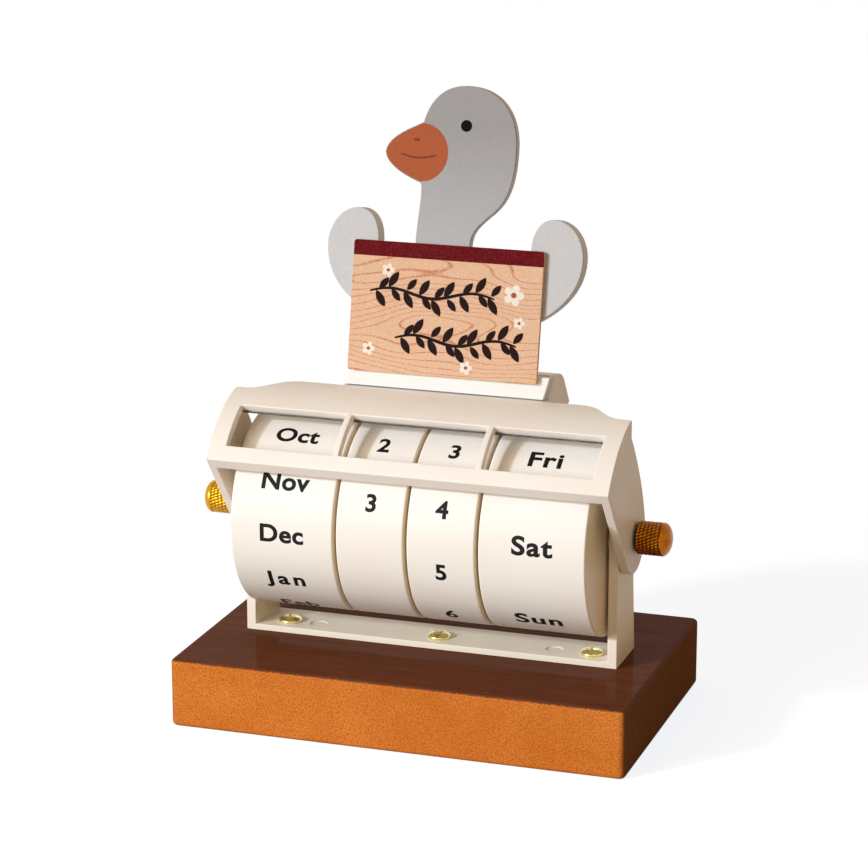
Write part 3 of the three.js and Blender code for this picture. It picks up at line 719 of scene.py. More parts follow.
def sign_print():
    """The sign: bare board round the edge, and on its front a maroon band over printed peach grain."""
    material, tree, shader = start_material("sign_print", Roughness=0.55, IOR=1.45,
                                            Specular_IOR_Level=0.05)
    place = figure_place(tree)
    local = split(tree, place)
    stretched = node(tree, "Mapping", [("Vector", place), ("Scale", PRINT_STRETCH)])
    swirl = noise(tree, stretched.outputs[0], scale=1.0, detail=0.6)
    rise = reckoned(tree, "MULTIPLY", local["Z"], PRINT_RINGS)
    rings = reckoned(tree, "FRACT", reckoned(tree, "MULTIPLY_ADD", swirl, PRINT_SWIRL, rise))
    apart = reckoned(tree, "ABSOLUTE", reckoned(tree, "SUBTRACT", rings, 0.5))
    worn = noise(tree, place, scale=700.0, detail=3.0)
    line = reckoned(tree, "MULTIPLY", ramped(tree, apart, 0.10, 0.03),
                    ramped(tree, worn, 0.3, 0.55, 0.45, 0.95))
    cloud = noise(tree, place, scale=60.0, detail=2.0)
    peach = blended(tree, cloud, paint(222, 184, 154), paint(216, 173, 139))
    skin = effect(tree, fleck, Colour=blended(tree, line, peach, paint(190, 112, 82)),
                  Fleck=paint(250, 226, 204), Size=2400.0, Amount=0.3, Depth=0.025 * MM)
    ribbon = effect(tree, fleck, Colour=paint(92, 6, 14), Fleck=paint(142, 48, 54), Size=1600.0,
                    Amount=0.35)
    band_foot = SIGN_TOP - SIGN_BAND
    printed = blended(tree, ramped(tree, local["Z"], band_foot - BAND_FADE, band_foot), skin["Colour"],
                      ribbon["Colour"])
    front = ramped(tree, local["Y"], -SIGN_THICKNESS - FRONT_TONE_START,
                   -SIGN_THICKNESS - FRONT_TONE_FULL)
    link(tree, shader, Base_Color=blended(tree, front, paint(214, 186, 150), printed),
         Normal=skin["Normal"])
    return material


# Ways to shape and finish a piece

def box_shape(low, high):
    shape = bmesh.new()
    bmesh.ops.create_cube(shape, size=1)
    low, high = Vector(low), Vector(high)
    bmesh.ops.scale(shape, verts=shape.verts, vec=high - low)
    bmesh.ops.translate(shape, verts=shape.verts, vec=(low + high) / 2)
    return shape


def turned(profile, steps, closed=True):
    """(radius, place) points spun round Z, as a ring when closed or from pole to pole."""
    shape = bmesh.new()
    points = [shape.verts.new((radius, 0, place)) for radius, place in profile]
    following = points[1:] + points[:1] if closed else points[1:]
    edges = [shape.edges.new(pair) for pair in zip(points, following)]
    bmesh.ops.spin(shape, geom=points + edges, cent=(0, 0, 0), axis=(0, 0, 1), angle=2 * math.pi,
                   steps=steps, use_merge=True)
    bmesh.ops.remove_doubles(shape, verts=shape.verts, dist=MERGE_GAP)
    bmesh.ops.recalc_face_normals(shape, faces=shape.faces)
    return shape


def crown(place, radius, height, steps):
    """(radius, place) points of a quarter ellipse, from its rim at a place up to the axis."""
    turns = [step / steps * math.pi / 2 for step in range(steps + 1)]
    return [(radius * math.cos(turn), place + height * math.sin(turn)) for turn in turns]


def on_axle(shape, start, facing=1):
    """Lays a piece turned round Z on the axle, its place 0 at start along X."""
    turn = Matrix.Rotation(facing * math.pi / 2, 4, "Y")
    shape.transform(Matrix.Translation((start, AXLE.y, AXLE.z)) @ turn)
    return shape


def on_figure(shape):
    """Leans a piece drawn in the figure's own place back into the part."""
    shape.transform(Matrix.Translation(FIGURE) @ Matrix.Rotation(-LEAN, 4, "X"))
    return shape


def prism(corners, push):
    """A flat face pushed out into a solid."""
    shape = bmesh.new()
    face = shape.faces.new([shape.verts.new(corner) for corner in corners])
    raised = bmesh.ops.extrude_face_region(shape, geom=[face])["geom"]
    far = [item for item in raised if isinstance(item, bmesh.types.BMVert)]
    bmesh.ops.translate(shape, verts=far, vec=push)
    bmesh.ops.recalc_face_normals(shape, faces=shape.faces)
    return shape


def plate(outline, front, thickness):
    """A flat plate from an (x, z) outline, its front face at Y = front."""
    return prism([(x, front, z) for x, z in outline], (0, thickness, 0))


def slab_along(outline, start, end):
    """A (y, z) outline as a slab between two places along X."""
    return prism([(start, y, z) for y, z in outline], (end - start, 0, 0))


def bezier(corners, count):
    """(x, y) points along one cubic curve, from its two ends and the two handles between them."""
    flat = [Vector((x, y, 0)) for x, y in corners]
    return [(point.x, point.y) for point in interpolate_bezier(*flat, count)]


def curve_through(start, rows, origin, size):
    """Points from start along rows of cubic curves, each in shares of a size from an origin."""
    outline = [start]
    for row in rows:
        ends = [(origin[0] + row[i] * size[0], origin[1] + row[i + 1] * size[1]) for i in (0, 2, 4)]
        outline += bezier([outline[-1], *ends], CURVE_STEPS + 1)[1:]
    return outline


def sharp_edges(shape, degrees=60):
    least = math.radians(degrees)
    return [edge for edge in shape.edges
            if len(edge.link_faces) == 2 and edge.calc_face_angle(0) > least]


def bevel(shape, edges, width, segments, clamp=False):
    bmesh.ops.bevel(shape, geom=edges, offset=width, offset_type="OFFSET", segments=segments,
                    profile=0.5, affect="EDGES", material=-1, clamp_overlap=clamp)


def round_edges(shape, width, segments=2, degrees=30):
    bevel(shape, sharp_edges(shape, degrees), width, segments)
    return shape


def object_of(name, shape):
    mesh = bpy.data.meshes.new(name)
    shape.to_mesh(mesh)
    shape.free()
    return added(name, mesh)


def settled(piece):
    """A bmesh of what the piece's modifiers or text make of it; the piece is removed."""
    bpy.context.view_layer.update()
    seen = piece.evaluated_get(bpy.context.evaluated_depsgraph_get())
    mesh = bpy.data.meshes.new_from_object(seen)
    bpy.data.objects.remove(piece)
    shape = bmesh.new()
    shape.from_mesh(mesh)
    bpy.data.meshes.remove(mesh)
    return shape


def merge(shape, gap):
    """Joins points nearer than a gap, then the faces of one plane."""
    bmesh.ops.remove_doubles(shape, verts=shape.verts, dist=gap)
    bmesh.ops.dissolve_limit(shape, angle_limit=FLAT_ANGLE, verts=shape.verts, edges=shape.edges)


def combined(first, second, operation):
    """Two shapes as one: joined (UNION), what they share (INTERSECT), or the first cut (DIFFERENCE)."""
    base = object_of("base", first)
    tool = object_of("tool", second)
    boolean = base.modifiers.new("boolean", "BOOLEAN")
    boolean.operation = operation
    boolean.solver = "EXACT"
    boolean.object = tool
    shape = settled(base)
    bpy.data.objects.remove(tool)
    merge(shape, CUT_MERGE_GAP)
    return shape


def merged_copy(name):
    """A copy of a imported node, with its loose triangles joined into faces."""
    shape = bmesh.new()
    shape.from_mesh(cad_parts[name].data)
    merge(shape, MERGE_GAP)
    return shape


def finish(name, shape, material, body, nodes=(), smooth=38):
    """The finished piece: smooth but at its sharp edges, on its body, in place of its nodes."""
    piece = object_of(name, shape)
    piece.data.materials.append(material)
    piece.data.shade_smooth()
    piece.data.set_sharp_from_angle(angle=math.radians(smooth))
    flat = piece.modifiers.new("flat_faces", "WEIGHTED_NORMAL")
    flat.keep_sharp = True
    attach(piece, body)
    if nodes:
        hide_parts(*nodes)


# The pieces

def make_base():
    low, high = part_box("wood_base")
    shape = box_shape(low, high)
    upright = [edge for edge in shape.edges if abs((edge.verts[0].co - edge.verts[1].co).z) > MM]
    bevel(shape, upright, BASE_CORNER, BASE_CORNER_STEPS, clamp=True)
    bevel(shape, sharp_edges(shape), BASE_EDGE, BASE_EDGE_STEPS, clamp=True)
    finish("base_board", shape, stained_board(), "stand", ["wood_base"])


def make_frame():
    """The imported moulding, with its floor plate stopping short under the drums."""
    high = Vector(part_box("frame")[1])
    inner, top = high.x - UPRIGHT_THICKNESS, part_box("wood_base")[1][2]
    behind = box_shape((-inner, PLATE_REAR, top - SHORT_OVERRUN),
                       (inner, high.y + SHORT_OVERRUN, top + PLATE_THICKNESS + SHORT_OVERRUN))
    shape = combined(merged_copy("frame"), behind, "DIFFERENCE")
    round_edges(shape, FRAME_EDGE, segments=3)
    finish("frame_moulding", shape, frame_plastic, "stand", ["frame"])


def round_axle(radius, degrees):
    angle = math.radians(degrees)
    return Vector((-radius * math.cos(angle), radius * math.sin(angle)))


def arc_round_axle(radius, start, end, stops=()):
    """Points at even angles, the same ones on every arc, and at the named stops."""
    low, high = min(start, end), max(start, end)
    even = [index * ARC_DEGREES for index in range(math.ceil(low / ARC_DEGREES),
                                                   math.floor(high / ARC_DEGREES) + 1)]
    angles = sorted(set(even) | {low, high} | {stop for stop in stops if low < stop < high})
    if end < start:
        angles.reverse()
    return [round_axle(radius, angle) for angle in angles]


def rod_along(radius, half):
    rod = turned([(0, -half), (radius, -half), (radius, half), (0, half)], ROD_STEPS, closed=False)
    rod.transform(Matrix.Rotation(math.pi / 2, 4, "Y"))
    return rod


lip_corner = round_axle(HOOD_OUTER, LIP_ANGLE)
lobe_start = math.pi - math.radians(LIP_ANGLE) + math.acos(LOBE_RADIUS / HOOD_OUTER)
lobe_tangent = Vector((LOBE_RADIUS * math.cos(lobe_start), LOBE_RADIUS * math.sin(lobe_start)))
lip_inner = lip_corner + (lobe_tangent - lip_corner).normalized() * LIP_DEPTH
cheek_top_angle = 90 - math.degrees(math.asin(CHEEK_REAR / HOOD_OUTER))
tongue_angle = 90 + math.degrees(math.asin(TONGUE_REAR / HOOD_OUTER))


def cheek_outline():
    outline = arc_round_axle(HOOD_OUTER, LIP_ANGLE, cheek_top_angle)
    foot_y, foot_z = outline[-1].x, outline[-1].y - CHEEK_REAR_HEIGHT
    outline.append((-CHEEK_REAR, math.sqrt(HOOD_INNER ** 2 - CHEEK_REAR ** 2)))
    out_y, out_z, in_y, in_z = (share * LOBE_RADIUS for share in cheek_rear_shares)
    outline += bezier([(foot_y, foot_z), (foot_y + out_y, foot_z - out_z), (in_y, in_z),
                       (LOBE_RADIUS, 0)], CURVE_STEPS * 2)
    sweep = 2 * math.pi - lobe_start
    steps = CURVE_STEPS * 2
    outline += [Vector((math.cos(sweep * step / steps), -math.sin(sweep * step / steps))) * LOBE_RADIUS
                for step in range(1, steps + 1)]
    return outline + [lip_inner]


def shell_outline():
    bead_radius = lip_inner.length
    bead_low = 180 - math.degrees(math.atan2(lip_inner.y, lip_inner.x))
    bead_high = bead_low + math.degrees(LIP_BEAD_HEIGHT / bead_radius)
    return (arc_round_axle(HOOD_OUTER, LIP_ANGLE, tongue_angle, [cheek_top_angle])
            + arc_round_axle(HOOD_INNER, tongue_angle, bead_high)
            + [round_axle(bead_radius, bead_high), lip_inner])


def shell_plan(half_width):
    """Plan of the shell, as a solid: forward at the cheeks, back at the crest and the tongue."""
    shoulder, middle = CREST_HALF_WIDTH + CREST_SHOULDER, CREST_HALF_WIDTH + CREST_SHOULDER / 2
    far, front, back = half_width + OVERRUN, -HOOD_OUTER - OVERRUN, TONGUE_REAR + OVERRUN
    right = [(far, front), (far, -CHEEK_REAR)]
    right += bezier([(shoulder, -CHEEK_REAR), (middle, -CHEEK_REAR), (middle, CREST_REAR),
                     (CREST_HALF_WIDTH, CREST_REAR)], CURVE_STEPS)
    right += [(HOLDER_HALF_WIDTH, CREST_REAR), (HOLDER_HALF_WIDTH, back)]
    outline = right + [(-x, y) for x, y in reversed(right)]
    return prism([(x, y, 0) for x, y in outline], (0, 0, HOOD_OUTER + OVERRUN))


def holder_rear(height):
    slope = (HOLDER_FOOT_DEPTH - HOLDER_TOP_DEPTH) / (HOLDER_HEIGHT + HOLDER_FOOT_DROP)
    return HOLDER_FRONT + HOLDER_TOP_DEPTH + (HOLDER_HEIGHT - height) * slope


def holder_block():
    """The hollow block behind the figure's foot, cut to sit on the shell; in the axle's place."""
    round_height = HOLDER_HEIGHT - HOLDER_ROUND * math.sqrt(0.5)
    top_rear = holder_rear(HOLDER_HEIGHT)
    lower = Vector((holder_rear(round_height), round_height))
    corner = Vector((top_rear, HOLDER_HEIGHT))
    upper = Vector((top_rear - HOLDER_ROUND, HOLDER_HEIGHT))
    rounded = [lower, lower.lerp(corner, 2 / 3), upper.lerp(corner, 2 / 3), upper]
    outline = [(HOLDER_FRONT, -HOLDER_ROOT_DROP), (HOLDER_FRONT + HOLDER_ROOT_DEPTH, -HOLDER_ROOT_DROP),
               (holder_rear(-HOLDER_FOOT_DROP), -HOLDER_FOOT_DROP)]
    outline += bezier(rounded, HOLDER_ROUND_STEPS)
    outline.append((HOLDER_FRONT, HOLDER_HEIGHT))
    front, top = HOLDER_FRONT + HOLDER_WALL, HOLDER_HEIGHT - HOLDER_WALL
    low, wall = -HOLDER_ROOT_DROP - OVERRUN, HOLDER_WALL * math.sqrt(2)
    hollow = [(front, low), (holder_rear(low) - wall, low), (holder_rear(top) - wall, top), (front, top)]
    inside = HOLDER_HALF_WIDTH - HOLDER_WALL
    block = combined(slab_along(outline, -HOLDER_HALF_WIDTH, HOLDER_HALF_WIDTH),
                     slab_along(hollow, -inside, inside), "DIFFERENCE")
    on_figure(block)
    block.transform(Matrix.Translation((0, -AXLE.y, -AXLE.z)))
    return combined(block, rod_along((HOOD_INNER + HOOD_OUTER) / 2, 2 * HOLDER_HALF_WIDTH), "DIFFERENCE")


def window_cut(start, end):
    middle = math.radians((WINDOW_LOW_ANGLE + WINDOW_HIGH_ANGLE) / 2)
    half = HOOD_OUTER * math.sin(math.radians((WINDOW_HIGH_ANGLE - WINDOW_LOW_ANGLE) / 2))
    cut = box_shape((start, -HOOD_OUTER - OVERRUN, -half), (end, -WINDOW_DEPTH, half))
    cut.transform(Matrix.Rotation(-middle, 4, "X"))
    return cut


def add_to(whole, part):
    """Adds a shape's mesh to another's; the part is used up."""
    mesh = bpy.data.meshes.new("part")
    part.to_mesh(mesh)
    part.free()
    whole.from_mesh(mesh)
    bpy.data.meshes.remove(mesh)


def add_cheeks(shell, inner, outer):
    """Opens the shell's ends and a cheek's inner face, and stitches them together edge to edge."""
    for side in (-1, 1):
        add_to(shell, slab_along(cheek_outline(), side * inner, side * outer))
    ends = [face for face in shell.faces if abs(abs(face.calc_center_median().x) - inner) < TOUCHING]
    bmesh.ops.delete(shell, geom=ends, context="FACES_ONLY")
    bmesh.ops.remove_doubles(shell, verts=shell.verts, dist=TOUCHING)
    bmesh.ops.holes_fill(shell, edges=[edge for edge in shell.edges if edge.is_boundary], sides=0)
    bmesh.ops.recalc_face_normals(shell, faces=shell.faces)
    bmesh.ops.dissolve_limit(shell, angle_limit=FLAT_ANGLE, verts=shell.verts, edges=shell.edges)


def make_hood():
    """The shell, its cheeks and the holder block in one moulding, cut for the windows and the rod."""
    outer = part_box("hood")[1][0]
    inner = outer - HOOD_WALL
    hood = combined(slab_along(shell_outline(), -inner, inner), shell_plan(inner), "INTERSECT")
    add_cheeks(hood, inner, outer)
    hood = combined(hood, holder_block(), "UNION")
    half, last = MULLION_WIDTH / 2, outer - WINDOW_MARGIN
    for start, end in ((-last, -MULLION_PLACE - half), (half - MULLION_PLACE, MULLION_PLACE - half),
                       (MULLION_PLACE + half, last)):
        hood = combined(hood, window_cut(start, end), "DIFFERENCE")
    hood = combined(hood, rod_along(BORE_RADIUS, outer + OVERRUN), "DIFFERENCE")
    hood.transform(Matrix.Translation((0, AXLE.y, AXLE.z)))
    round_edges(hood, HOOD_EDGE, segments=3)
    finish("hood_moulding", hood, cream_plastic, "stand", ["hood"])


def make_screw(side):
    name = "base_screw_" + side
    low, high = (Vector(corner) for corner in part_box(name))
    profile = [(0, -SCREW_LENGTH), (SCREW_SHANK, SCREW_TIP - SCREW_LENGTH), (SCREW_SHANK, 0),
               (SCREW_RADIUS, 0)]
    profile += crown(SCREW_RIM, SCREW_RADIUS, SCREW_CROWN - SCREW_RIM, CROWN_STEPS)
    shape = turned(profile, SCREW_STEPS, closed=False)
    half, thin = RECESS_LENGTH / 2, RECESS_WIDTH / 2
    floor, roof = SCREW_CROWN - RECESS_DEPTH, SCREW_HEAD + SHORT_OVERRUN
    for reach_x, reach_y in ((half, thin), (thin, half)):
        slot = box_shape((-reach_x, -reach_y, floor), (reach_x, reach_y, roof))
        for vert in slot.verts:
            if vert.co.z < floor + NEAR:
                vert.co.xy *= RECESS_FLOOR_SHARE
        shape = combined(shape, slot, "DIFFERENCE")
    round_edges(shape, SCREW_EDGE, degrees=35)
    middle = (low + high) / 2
    turn = Matrix.Rotation(math.radians(SCREW_TURNS[side]), 4, "Z")
    shape.transform(Matrix.Translation((middle.x, middle.y, high.z - SCREW_HEAD)) @ turn)
    finish(name + "_brassed", shape, screw_brass, "stand", [name])


def make_drum(word):
    """A cup with a hub and rounded rims; its open side is on the left, shut by the cap."""
    low, high = (Vector(corner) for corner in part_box(word + "_drum"))
    length, radius = high.x - low.x, (high.z - low.z) / 2
    web, inside = length - DRUM_WEB, radius - DRUM_WALL
    profile = [(BORE_RADIUS, length), (BORE_RADIUS, HUB_INSET), (HUB_RADIUS, HUB_INSET),
               (HUB_RADIUS, web), (inside, web), (inside, 0), (radius, 0), (radius, length)]
    shape = turned(profile, DRUM_STEPS)
    rims = [edge for edge in sharp_edges(shape)
            if min(vert.co.xy.length for vert in edge.verts) > radius - NEAR]
    bevel(shape, rims, DRUM_EDGE, DRUM_EDGE_STEPS)
    finish(word + "_drum_cup", on_axle(shape, low.x), drum_plastic, word, [word + "_drum"])
    cap_name = word + "_drum_cap"
    cap = round_edges(merged_copy(cap_name), CAP_EDGE)
    finish(cap_name + "_disc", cap, drum_plastic, word, [cap_name])
    make_labels(word, radius, (low.x + high.x) / 2)


def lettering(words, height, width_share):
    """Words in the built-in font, thickened all round, capitals of that height, on the origin."""
    curve = bpy.data.curves.new("lettering", "FONT")
    curve.body = words
    curve.align_x = "CENTER"
    curve.bevel_depth = LETTER_WEIGHT
    curve.bevel_resolution = 0
    curve.space_character = word_spacing.get(words, LETTER_SPACING)
    shape = settled(added("lettering", curve))
    capital = FONT_CAPITAL + 2 * LETTER_WEIGHT
    scale = height / capital
    bmesh.ops.translate(shape, verts=shape.verts, vec=(0, LETTER_WEIGHT - capital / 2, 0))
    thin = INK_THICKNESS / LETTER_WEIGHT
    bmesh.ops.scale(shape, verts=shape.verts, vec=(scale * width_share, scale, thin))
    return shape


def bent_on_drum(shape, radius, centre, angle, height):
    """Slices flat lettering across and wraps it round the drum at an angle."""
    steps = math.ceil(height / INK_SLICE)
    for step in range(-steps, steps + 1):
        bmesh.ops.bisect_plane(shape, geom=shape.verts[:] + shape.edges[:] + shape.faces[:],
                               plane_co=(0, step * INK_SLICE, 0), plane_no=(0, 1, 0), dist=SLICE_GAP)
    for vert in shape.verts:
        around = math.radians(angle) + vert.co.y / radius
        outside = radius + INK_THICKNESS / 2 + vert.co.z
        vert.co = (centre + vert.co.x, AXLE.y - outside * math.cos(around),
                   AXLE.z + outside * math.sin(around))
    bmesh.ops.recalc_face_normals(shape, faces=shape.faces)
    return shape


def make_labels(word, radius, centre):
    """All the signs round a drum."""
    signs, pitch, first, window, height, width_share = dials[word]
    together = bmesh.new()
    for index, sign in enumerate(signs):
        angle = window - (index - first) * pitch
        flat = lettering(sign, height, width_share)
        add_to(together, bent_on_drum(flat, radius, centre, angle, height))
    finish(word + "_lettering", together, label_ink, word)


def make_knob(side, facing, brass):
    """A cap nut: knurled grip, smooth domed end and a blind bore from its inner face."""
    low, high = (Vector(corner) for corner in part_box(side + "_knob"))
    grip_steps = round(KNOB_GRIP / KNURL_PITCH * KNURL_STEPS_A_PITCH)
    profile = [(0, KNOB_BORE_DEPTH), (KNOB_BORE, KNOB_BORE_DEPTH), (KNOB_BORE, 0),
               (KNOB_RADIUS - KNOB_CHAMFER, 0)]
    profile += [(KNOB_RADIUS, KNOB_CHAMFER + (KNOB_GRIP - KNOB_CHAMFER) * step / grip_steps)
                for step in range(grip_steps)]
    profile += crown(KNOB_GRIP, KNOB_RADIUS, KNOB_DOME, DOME_STEPS)
    shape = turned(profile, KNOB_STEPS, closed=False)
    for vert in shape.verts:
        place = vert.co.z
        if vert.co.xy.length < KNOB_RADIUS - TOUCHING or place > KNOB_GRIP - KNURL_SMOOTH_END:
            continue
        around = math.atan2(vert.co.y, vert.co.x) * KNURL_ROWS / 2
        along = math.pi * place / KNURL_PITCH
        ring = math.sqrt(abs(math.sin(along)))
        bead = math.sqrt(abs(math.sin(around + KNURL_SLANT * along)))
        sunk = KNURL_DEPTH * (1 - (1 - RING_DEPTH_SHARE * (1 - ring)) * bead)
        vert.co.xy *= (KNOB_RADIUS - sunk) / KNOB_RADIUS
    start = low.x if facing > 0 else high.x
    finish(side + "_cap_nut", on_axle(shape, start, facing), brass, "axle",
           [side + "_knob"], smooth=60)


def make_axle():
    finish("axle_pin", merged_copy("axle_rod"), axle_steel, "axle", ["axle_rod"])
    make_knob("left", -1, left_brass_lit)
    make_knob("right", 1, right_brass_shaded)
    for place in ("left", "month_tens", "tens_units", "units_weekday", "right"):
        name = "washer_" + place
        shape = round_edges(merged_copy(name), WASHER_EDGE)
        finish(name + "_nylon", shape, washer_nylon, "stand", [name])


def wing_outline(side):
    root = WINGS_SLID_RIGHT + side * WING_ROOT_HALF_WIDTH
    low = SIGN_TOP - WING_BELOW_SIGN_TOP
    return curve_through((root, low), wing_shares, (root, low), (side * WING_WIDTH, WING_HEIGHT))


def make_figure():
    neck_left = neck_left_share * HEAD_WIDTH - BILL_REACH
    neck_right = neck_right_share * HEAD_WIDTH - BILL_REACH
    neck_low = SIGN_TOP - NECK_LENGTH

    side = SIGN_WIDTH / 2 - BODY_SIDE_INSET
    body = box_shape((-side, 0, 0), (side, BODY_THICKNESS, SIGN_TOP - BODY_TOP_DROP))
    foot = [(-FOOT_HALF_WIDTH, 0), (FOOT_HALF_WIDTH, 0), (FOOT_HALF_WIDTH + FOOT_FLARE, FOOT_HEIGHT),
            (FOOT_SLOPE - FOOT_HALF_WIDTH, FOOT_HEIGHT)]
    for outline in (foot, wing_outline(-1), wing_outline(1)):
        body = combined(body, plate(outline, 0, BODY_THICKNESS), "UNION")
    notch = box_shape((neck_left - GLUE_GAP, -SHORT_OVERRUN, neck_low - GLUE_GAP),
                      (neck_right + GLUE_GAP, BODY_THICKNESS + SHORT_OVERRUN, SIGN_TOP))
    body = combined(body, notch, "DIFFERENCE")
    round_edges(body, PLATE_EDGE, segments=3, degrees=45)
    finish("wings_and_foot", on_figure(body), wing_paint_with_painted_light, "stand", ["body_plate"])

    outline = curve_through((neck_right, SIGN_TOP), head_shares, (-BILL_REACH, SIGN_TOP),
                            (HEAD_WIDTH, HEAD_HEIGHT))
    outline += [(neck_left, neck_low), (neck_right, neck_low)]
    head = round_edges(plate(outline, 0, HEAD_THICKNESS), PLATE_EDGE, segments=3, degrees=45)
    finish("goose_head", on_figure(head), head_paint_with_painted_shade, "stand", ["head_plate"])


def oval(x, z, half_width, half_height, steps=32):
    return [(x + half_width * math.cos(2 * math.pi * step / steps),
             z + half_height * math.sin(2 * math.pi * step / steps)) for step in range(steps)]


def band_along(points, width):
    """The outline of a stroke of that width along (x, z) points, narrowed at both ends."""
    upper, lower = [], []
    last = len(points) - 1
    for index, (x, z) in enumerate(points):
        (x0, z0), (x1, z1) = points[max(index - 1, 0)], points[min(index + 1, last)]
        across = Vector((z0 - z1, x1 - x0)).normalized() * width / 2
        swell = math.sin(math.pi * (index + 0.5) / (last + 1)) ** STROKE_SWELL
        across *= STROKE_END_SHARE + (1 - STROKE_END_SHARE) * swell
        upper.append((x + across.x, z + across.y))
        lower.append((x - across.x, z - across.y))
    return upper + lower[::-1]


def paint_layer(name, outlines, front, material):
    """Flat painted shapes, a hair proud of a plate whose face is at Y = front."""
    layer = bmesh.new()
    for index, outline in enumerate(outlines):
        lift = PAINT_THICKNESS + (index % 3) * PAINT_STEP
        add_to(layer, plate(outline, front - lift, 2 * lift))
    finish(name, on_figure(layer), material, "stand")


def paint_head():
    """A plain bill with its mouth line and nostril, and a round eye."""
    top_of_bill = (head_shares[3][4] * HEAD_WIDTH - BILL_REACH,
                   head_shares[3][5] * HEAD_HEIGHT + SIGN_TOP)
    rim = curve_through(top_of_bill, head_shares[4:6], (-BILL_REACH, SIGN_TOP),
                        (HEAD_WIDTH, HEAD_HEIGHT))
    middle = (Vector(rim[0]) + Vector(rim[-1])) / 2
    edge = [Vector(point) for point in rim]
    edge = [point + (middle - point).normalized() * PAINT_INSET for point in edge]
    turns = [math.pi * step / CHEEK_STEPS for step in range(1, CHEEK_STEPS)]
    edge += [middle + Vector((BILL_CHEEK * math.sin(turn), (edge[-1].y - middle.y) * math.cos(turn)))
             for turn in turns]
    paint_layer("bill_coat", [edge], 0, bill_paint)
    mouth = [(middle.x + MOUTH_SHIFT - MOUTH_LENGTH * (1 - step / MOUTH_STEPS),
              middle.y - MOUTH_DROP - MOUTH_SAG * math.sin(math.pi * step / MOUTH_STEPS))
             for step in range(MOUTH_STEPS + 1)]
    nostril = oval(middle.x + NOSTRIL_FROM_CHEEK.x, middle.y + NOSTRIL_FROM_CHEEK.y, NOSTRIL_HALF_WIDTH,
                   NOSTRIL_HALF_HEIGHT)
    paint_layer("mouth_line_and_nostril", [band_along(mouth, MOUTH_WIDTH), nostril],
                -2 * PAINT_THICKNESS, bill_line_paint)
    paint_layer("eye_dot", [oval(EYE_PLACE.x, EYE_PLACE.y, EYE_RADIUS, EYE_RADIUS)], 0, eye_paint)


def leaf(x, z, angle, length, width):
    """A pointed leaf from its foot at (x, z) out along an angle."""
    side = [(length * step / LEAF_STEPS, width / 2 * math.sin(math.pi * step / LEAF_STEPS) ** LEAF_SWELL)
            for step in range(1, LEAF_STEPS)]
    local = [(0, 0)] + side + [(length, 0)] + [(along, -across) for along, across in reversed(side)]
    turn = math.radians(angle)
    return [(x + along * math.cos(turn) - across * math.sin(turn),
             z + along * math.sin(turn) + across * math.cos(turn)) for along, across in local]


def sprig(start, end, height):
    """A waved stem with pairs of leaves, from x = start to x = end."""
    wave = [(start + (end - start) * step / SPRIG_STEPS,
             height + SPRIG_WAVE * math.sin(SPRIG_HALF_WAVES * math.pi * step / SPRIG_STEPS))
            for step in range(SPRIG_STEPS + 1)]
    shapes = [band_along(wave, SPRIG_STEM)]
    leafy = SPRIG_STEPS - 2 * SPRIG_BARE_STEPS
    for index in range(SPRIG_LEAVES):
        x, z = wave[round(SPRIG_BARE_STEPS + leafy * index / (SPRIG_LEAVES - 1))]
        up = 1 if index % 2 else -1
        shapes.append(leaf(x, z + up * LEAF_FOOT, up * LARGE_LEAF_ANGLE, *LARGE_LEAF_SIZE))
        shapes.append(leaf(x + SPRIG_STEM, z - up * LEAF_FOOT, -up * SMALL_LEAF_ANGLE, *SMALL_LEAF_SIZE))
    return shapes


def flower(x, z, radius):
    petals = []
    for step in range(FLOWER_STEPS):
        angle = 2 * math.pi * step / FLOWER_STEPS
        petal = abs(math.cos(PETALS / 2 * angle)) ** PETAL_SWELL
        reach = radius * (PETAL_ROOT_SHARE + (1 - PETAL_ROOT_SHARE) * petal)
        petals.append((x + reach * math.cos(angle), z + reach * math.sin(angle)))
    return petals


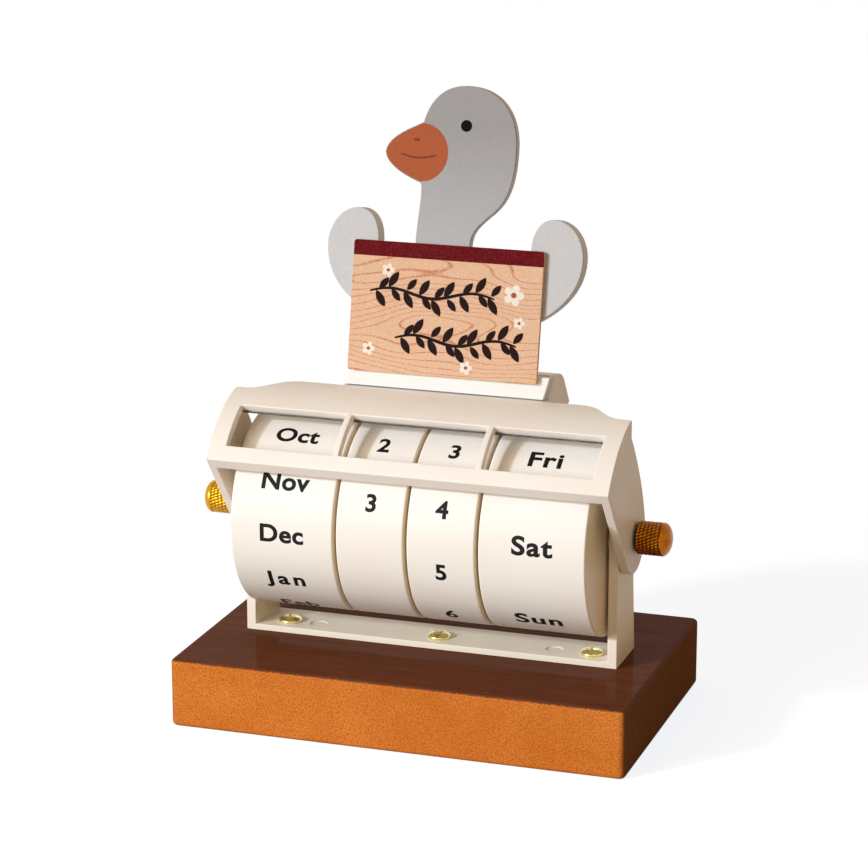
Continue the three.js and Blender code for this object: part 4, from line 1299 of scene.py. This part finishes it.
def paint_sign():
    """Two rows of leafy sprigs with a few small flowers between them."""
    face = -SIGN_THICKNESS - GLUE_GAP
    rows = [shape for row in sprig_rows for shape in sprig(*(value * MM for value in row))]
    paint_layer("sign_sprigs", rows, face, sprig_paint)
    places = [(x * MM, z * MM, radius * MM) for x, z, radius in flowers]
    paint_layer("sign_flowers", [flower(*place) for place in places], face, flower_paint)
    centres = [oval(x, z, radius * FLOWER_CENTRE_SHARE, radius * FLOWER_CENTRE_SHARE, FLOWER_CENTRE_STEPS)
               for x, z, radius in places]
    paint_layer("sign_flower_centres", centres, face - 2 * PAINT_THICKNESS, bill_paint)


def rounded_rectangle(low, high, corner, steps=6):
    points = []
    for turn in range(4):
        x = high[0] - corner if turn in (0, 3) else low[0] + corner
        z = high[1] - corner if turn in (0, 1) else low[1] + corner
        for step in range(steps + 1):
            angle = (turn + step / steps) * math.pi / 2
            points.append((x + corner * math.cos(angle), z + corner * math.sin(angle)))
    return points


def make_sign():
    half = SIGN_WIDTH / 2
    outline = rounded_rectangle((-half, SIGN_LOW), (half, SIGN_TOP), SIGN_CORNER)
    board = plate(outline, -SIGN_THICKNESS - GLUE_GAP, SIGN_THICKNESS)
    round_edges(board, SIGN_EDGE, degrees=45)
    finish("sign_board_print", on_figure(board), sign_print(), "stand", ["sign_board"])


def make_tape():
    shape = round_edges(merged_copy("mounting_tape"), TAPE_EDGE)
    finish("foam_tape", shape, tape_foam, "stand", ["mounting_tape"])


bpy.context.scene.view_settings.view_transform = "Standard"
place_camera()
place_key_lamp()
place_disk_lamp("fill_lamp", FILL_PLACE, FILL_SIZE, FILL_POWER, FILL_COLOUR)
place_disk_lamp("glint_lamp", GLINT_PLACE, GLINT_SIZE, GLINT_POWER, GLINT_COLOUR)
light_the_room()
lay_floor()
make_base()
make_frame()
make_hood()
for screw_side in SCREW_TURNS:
    make_screw(screw_side)
for drum_word in dials:
    make_drum(drum_word)
make_axle()
make_figure()
paint_head()
make_sign()
paint_sign()
make_tape()
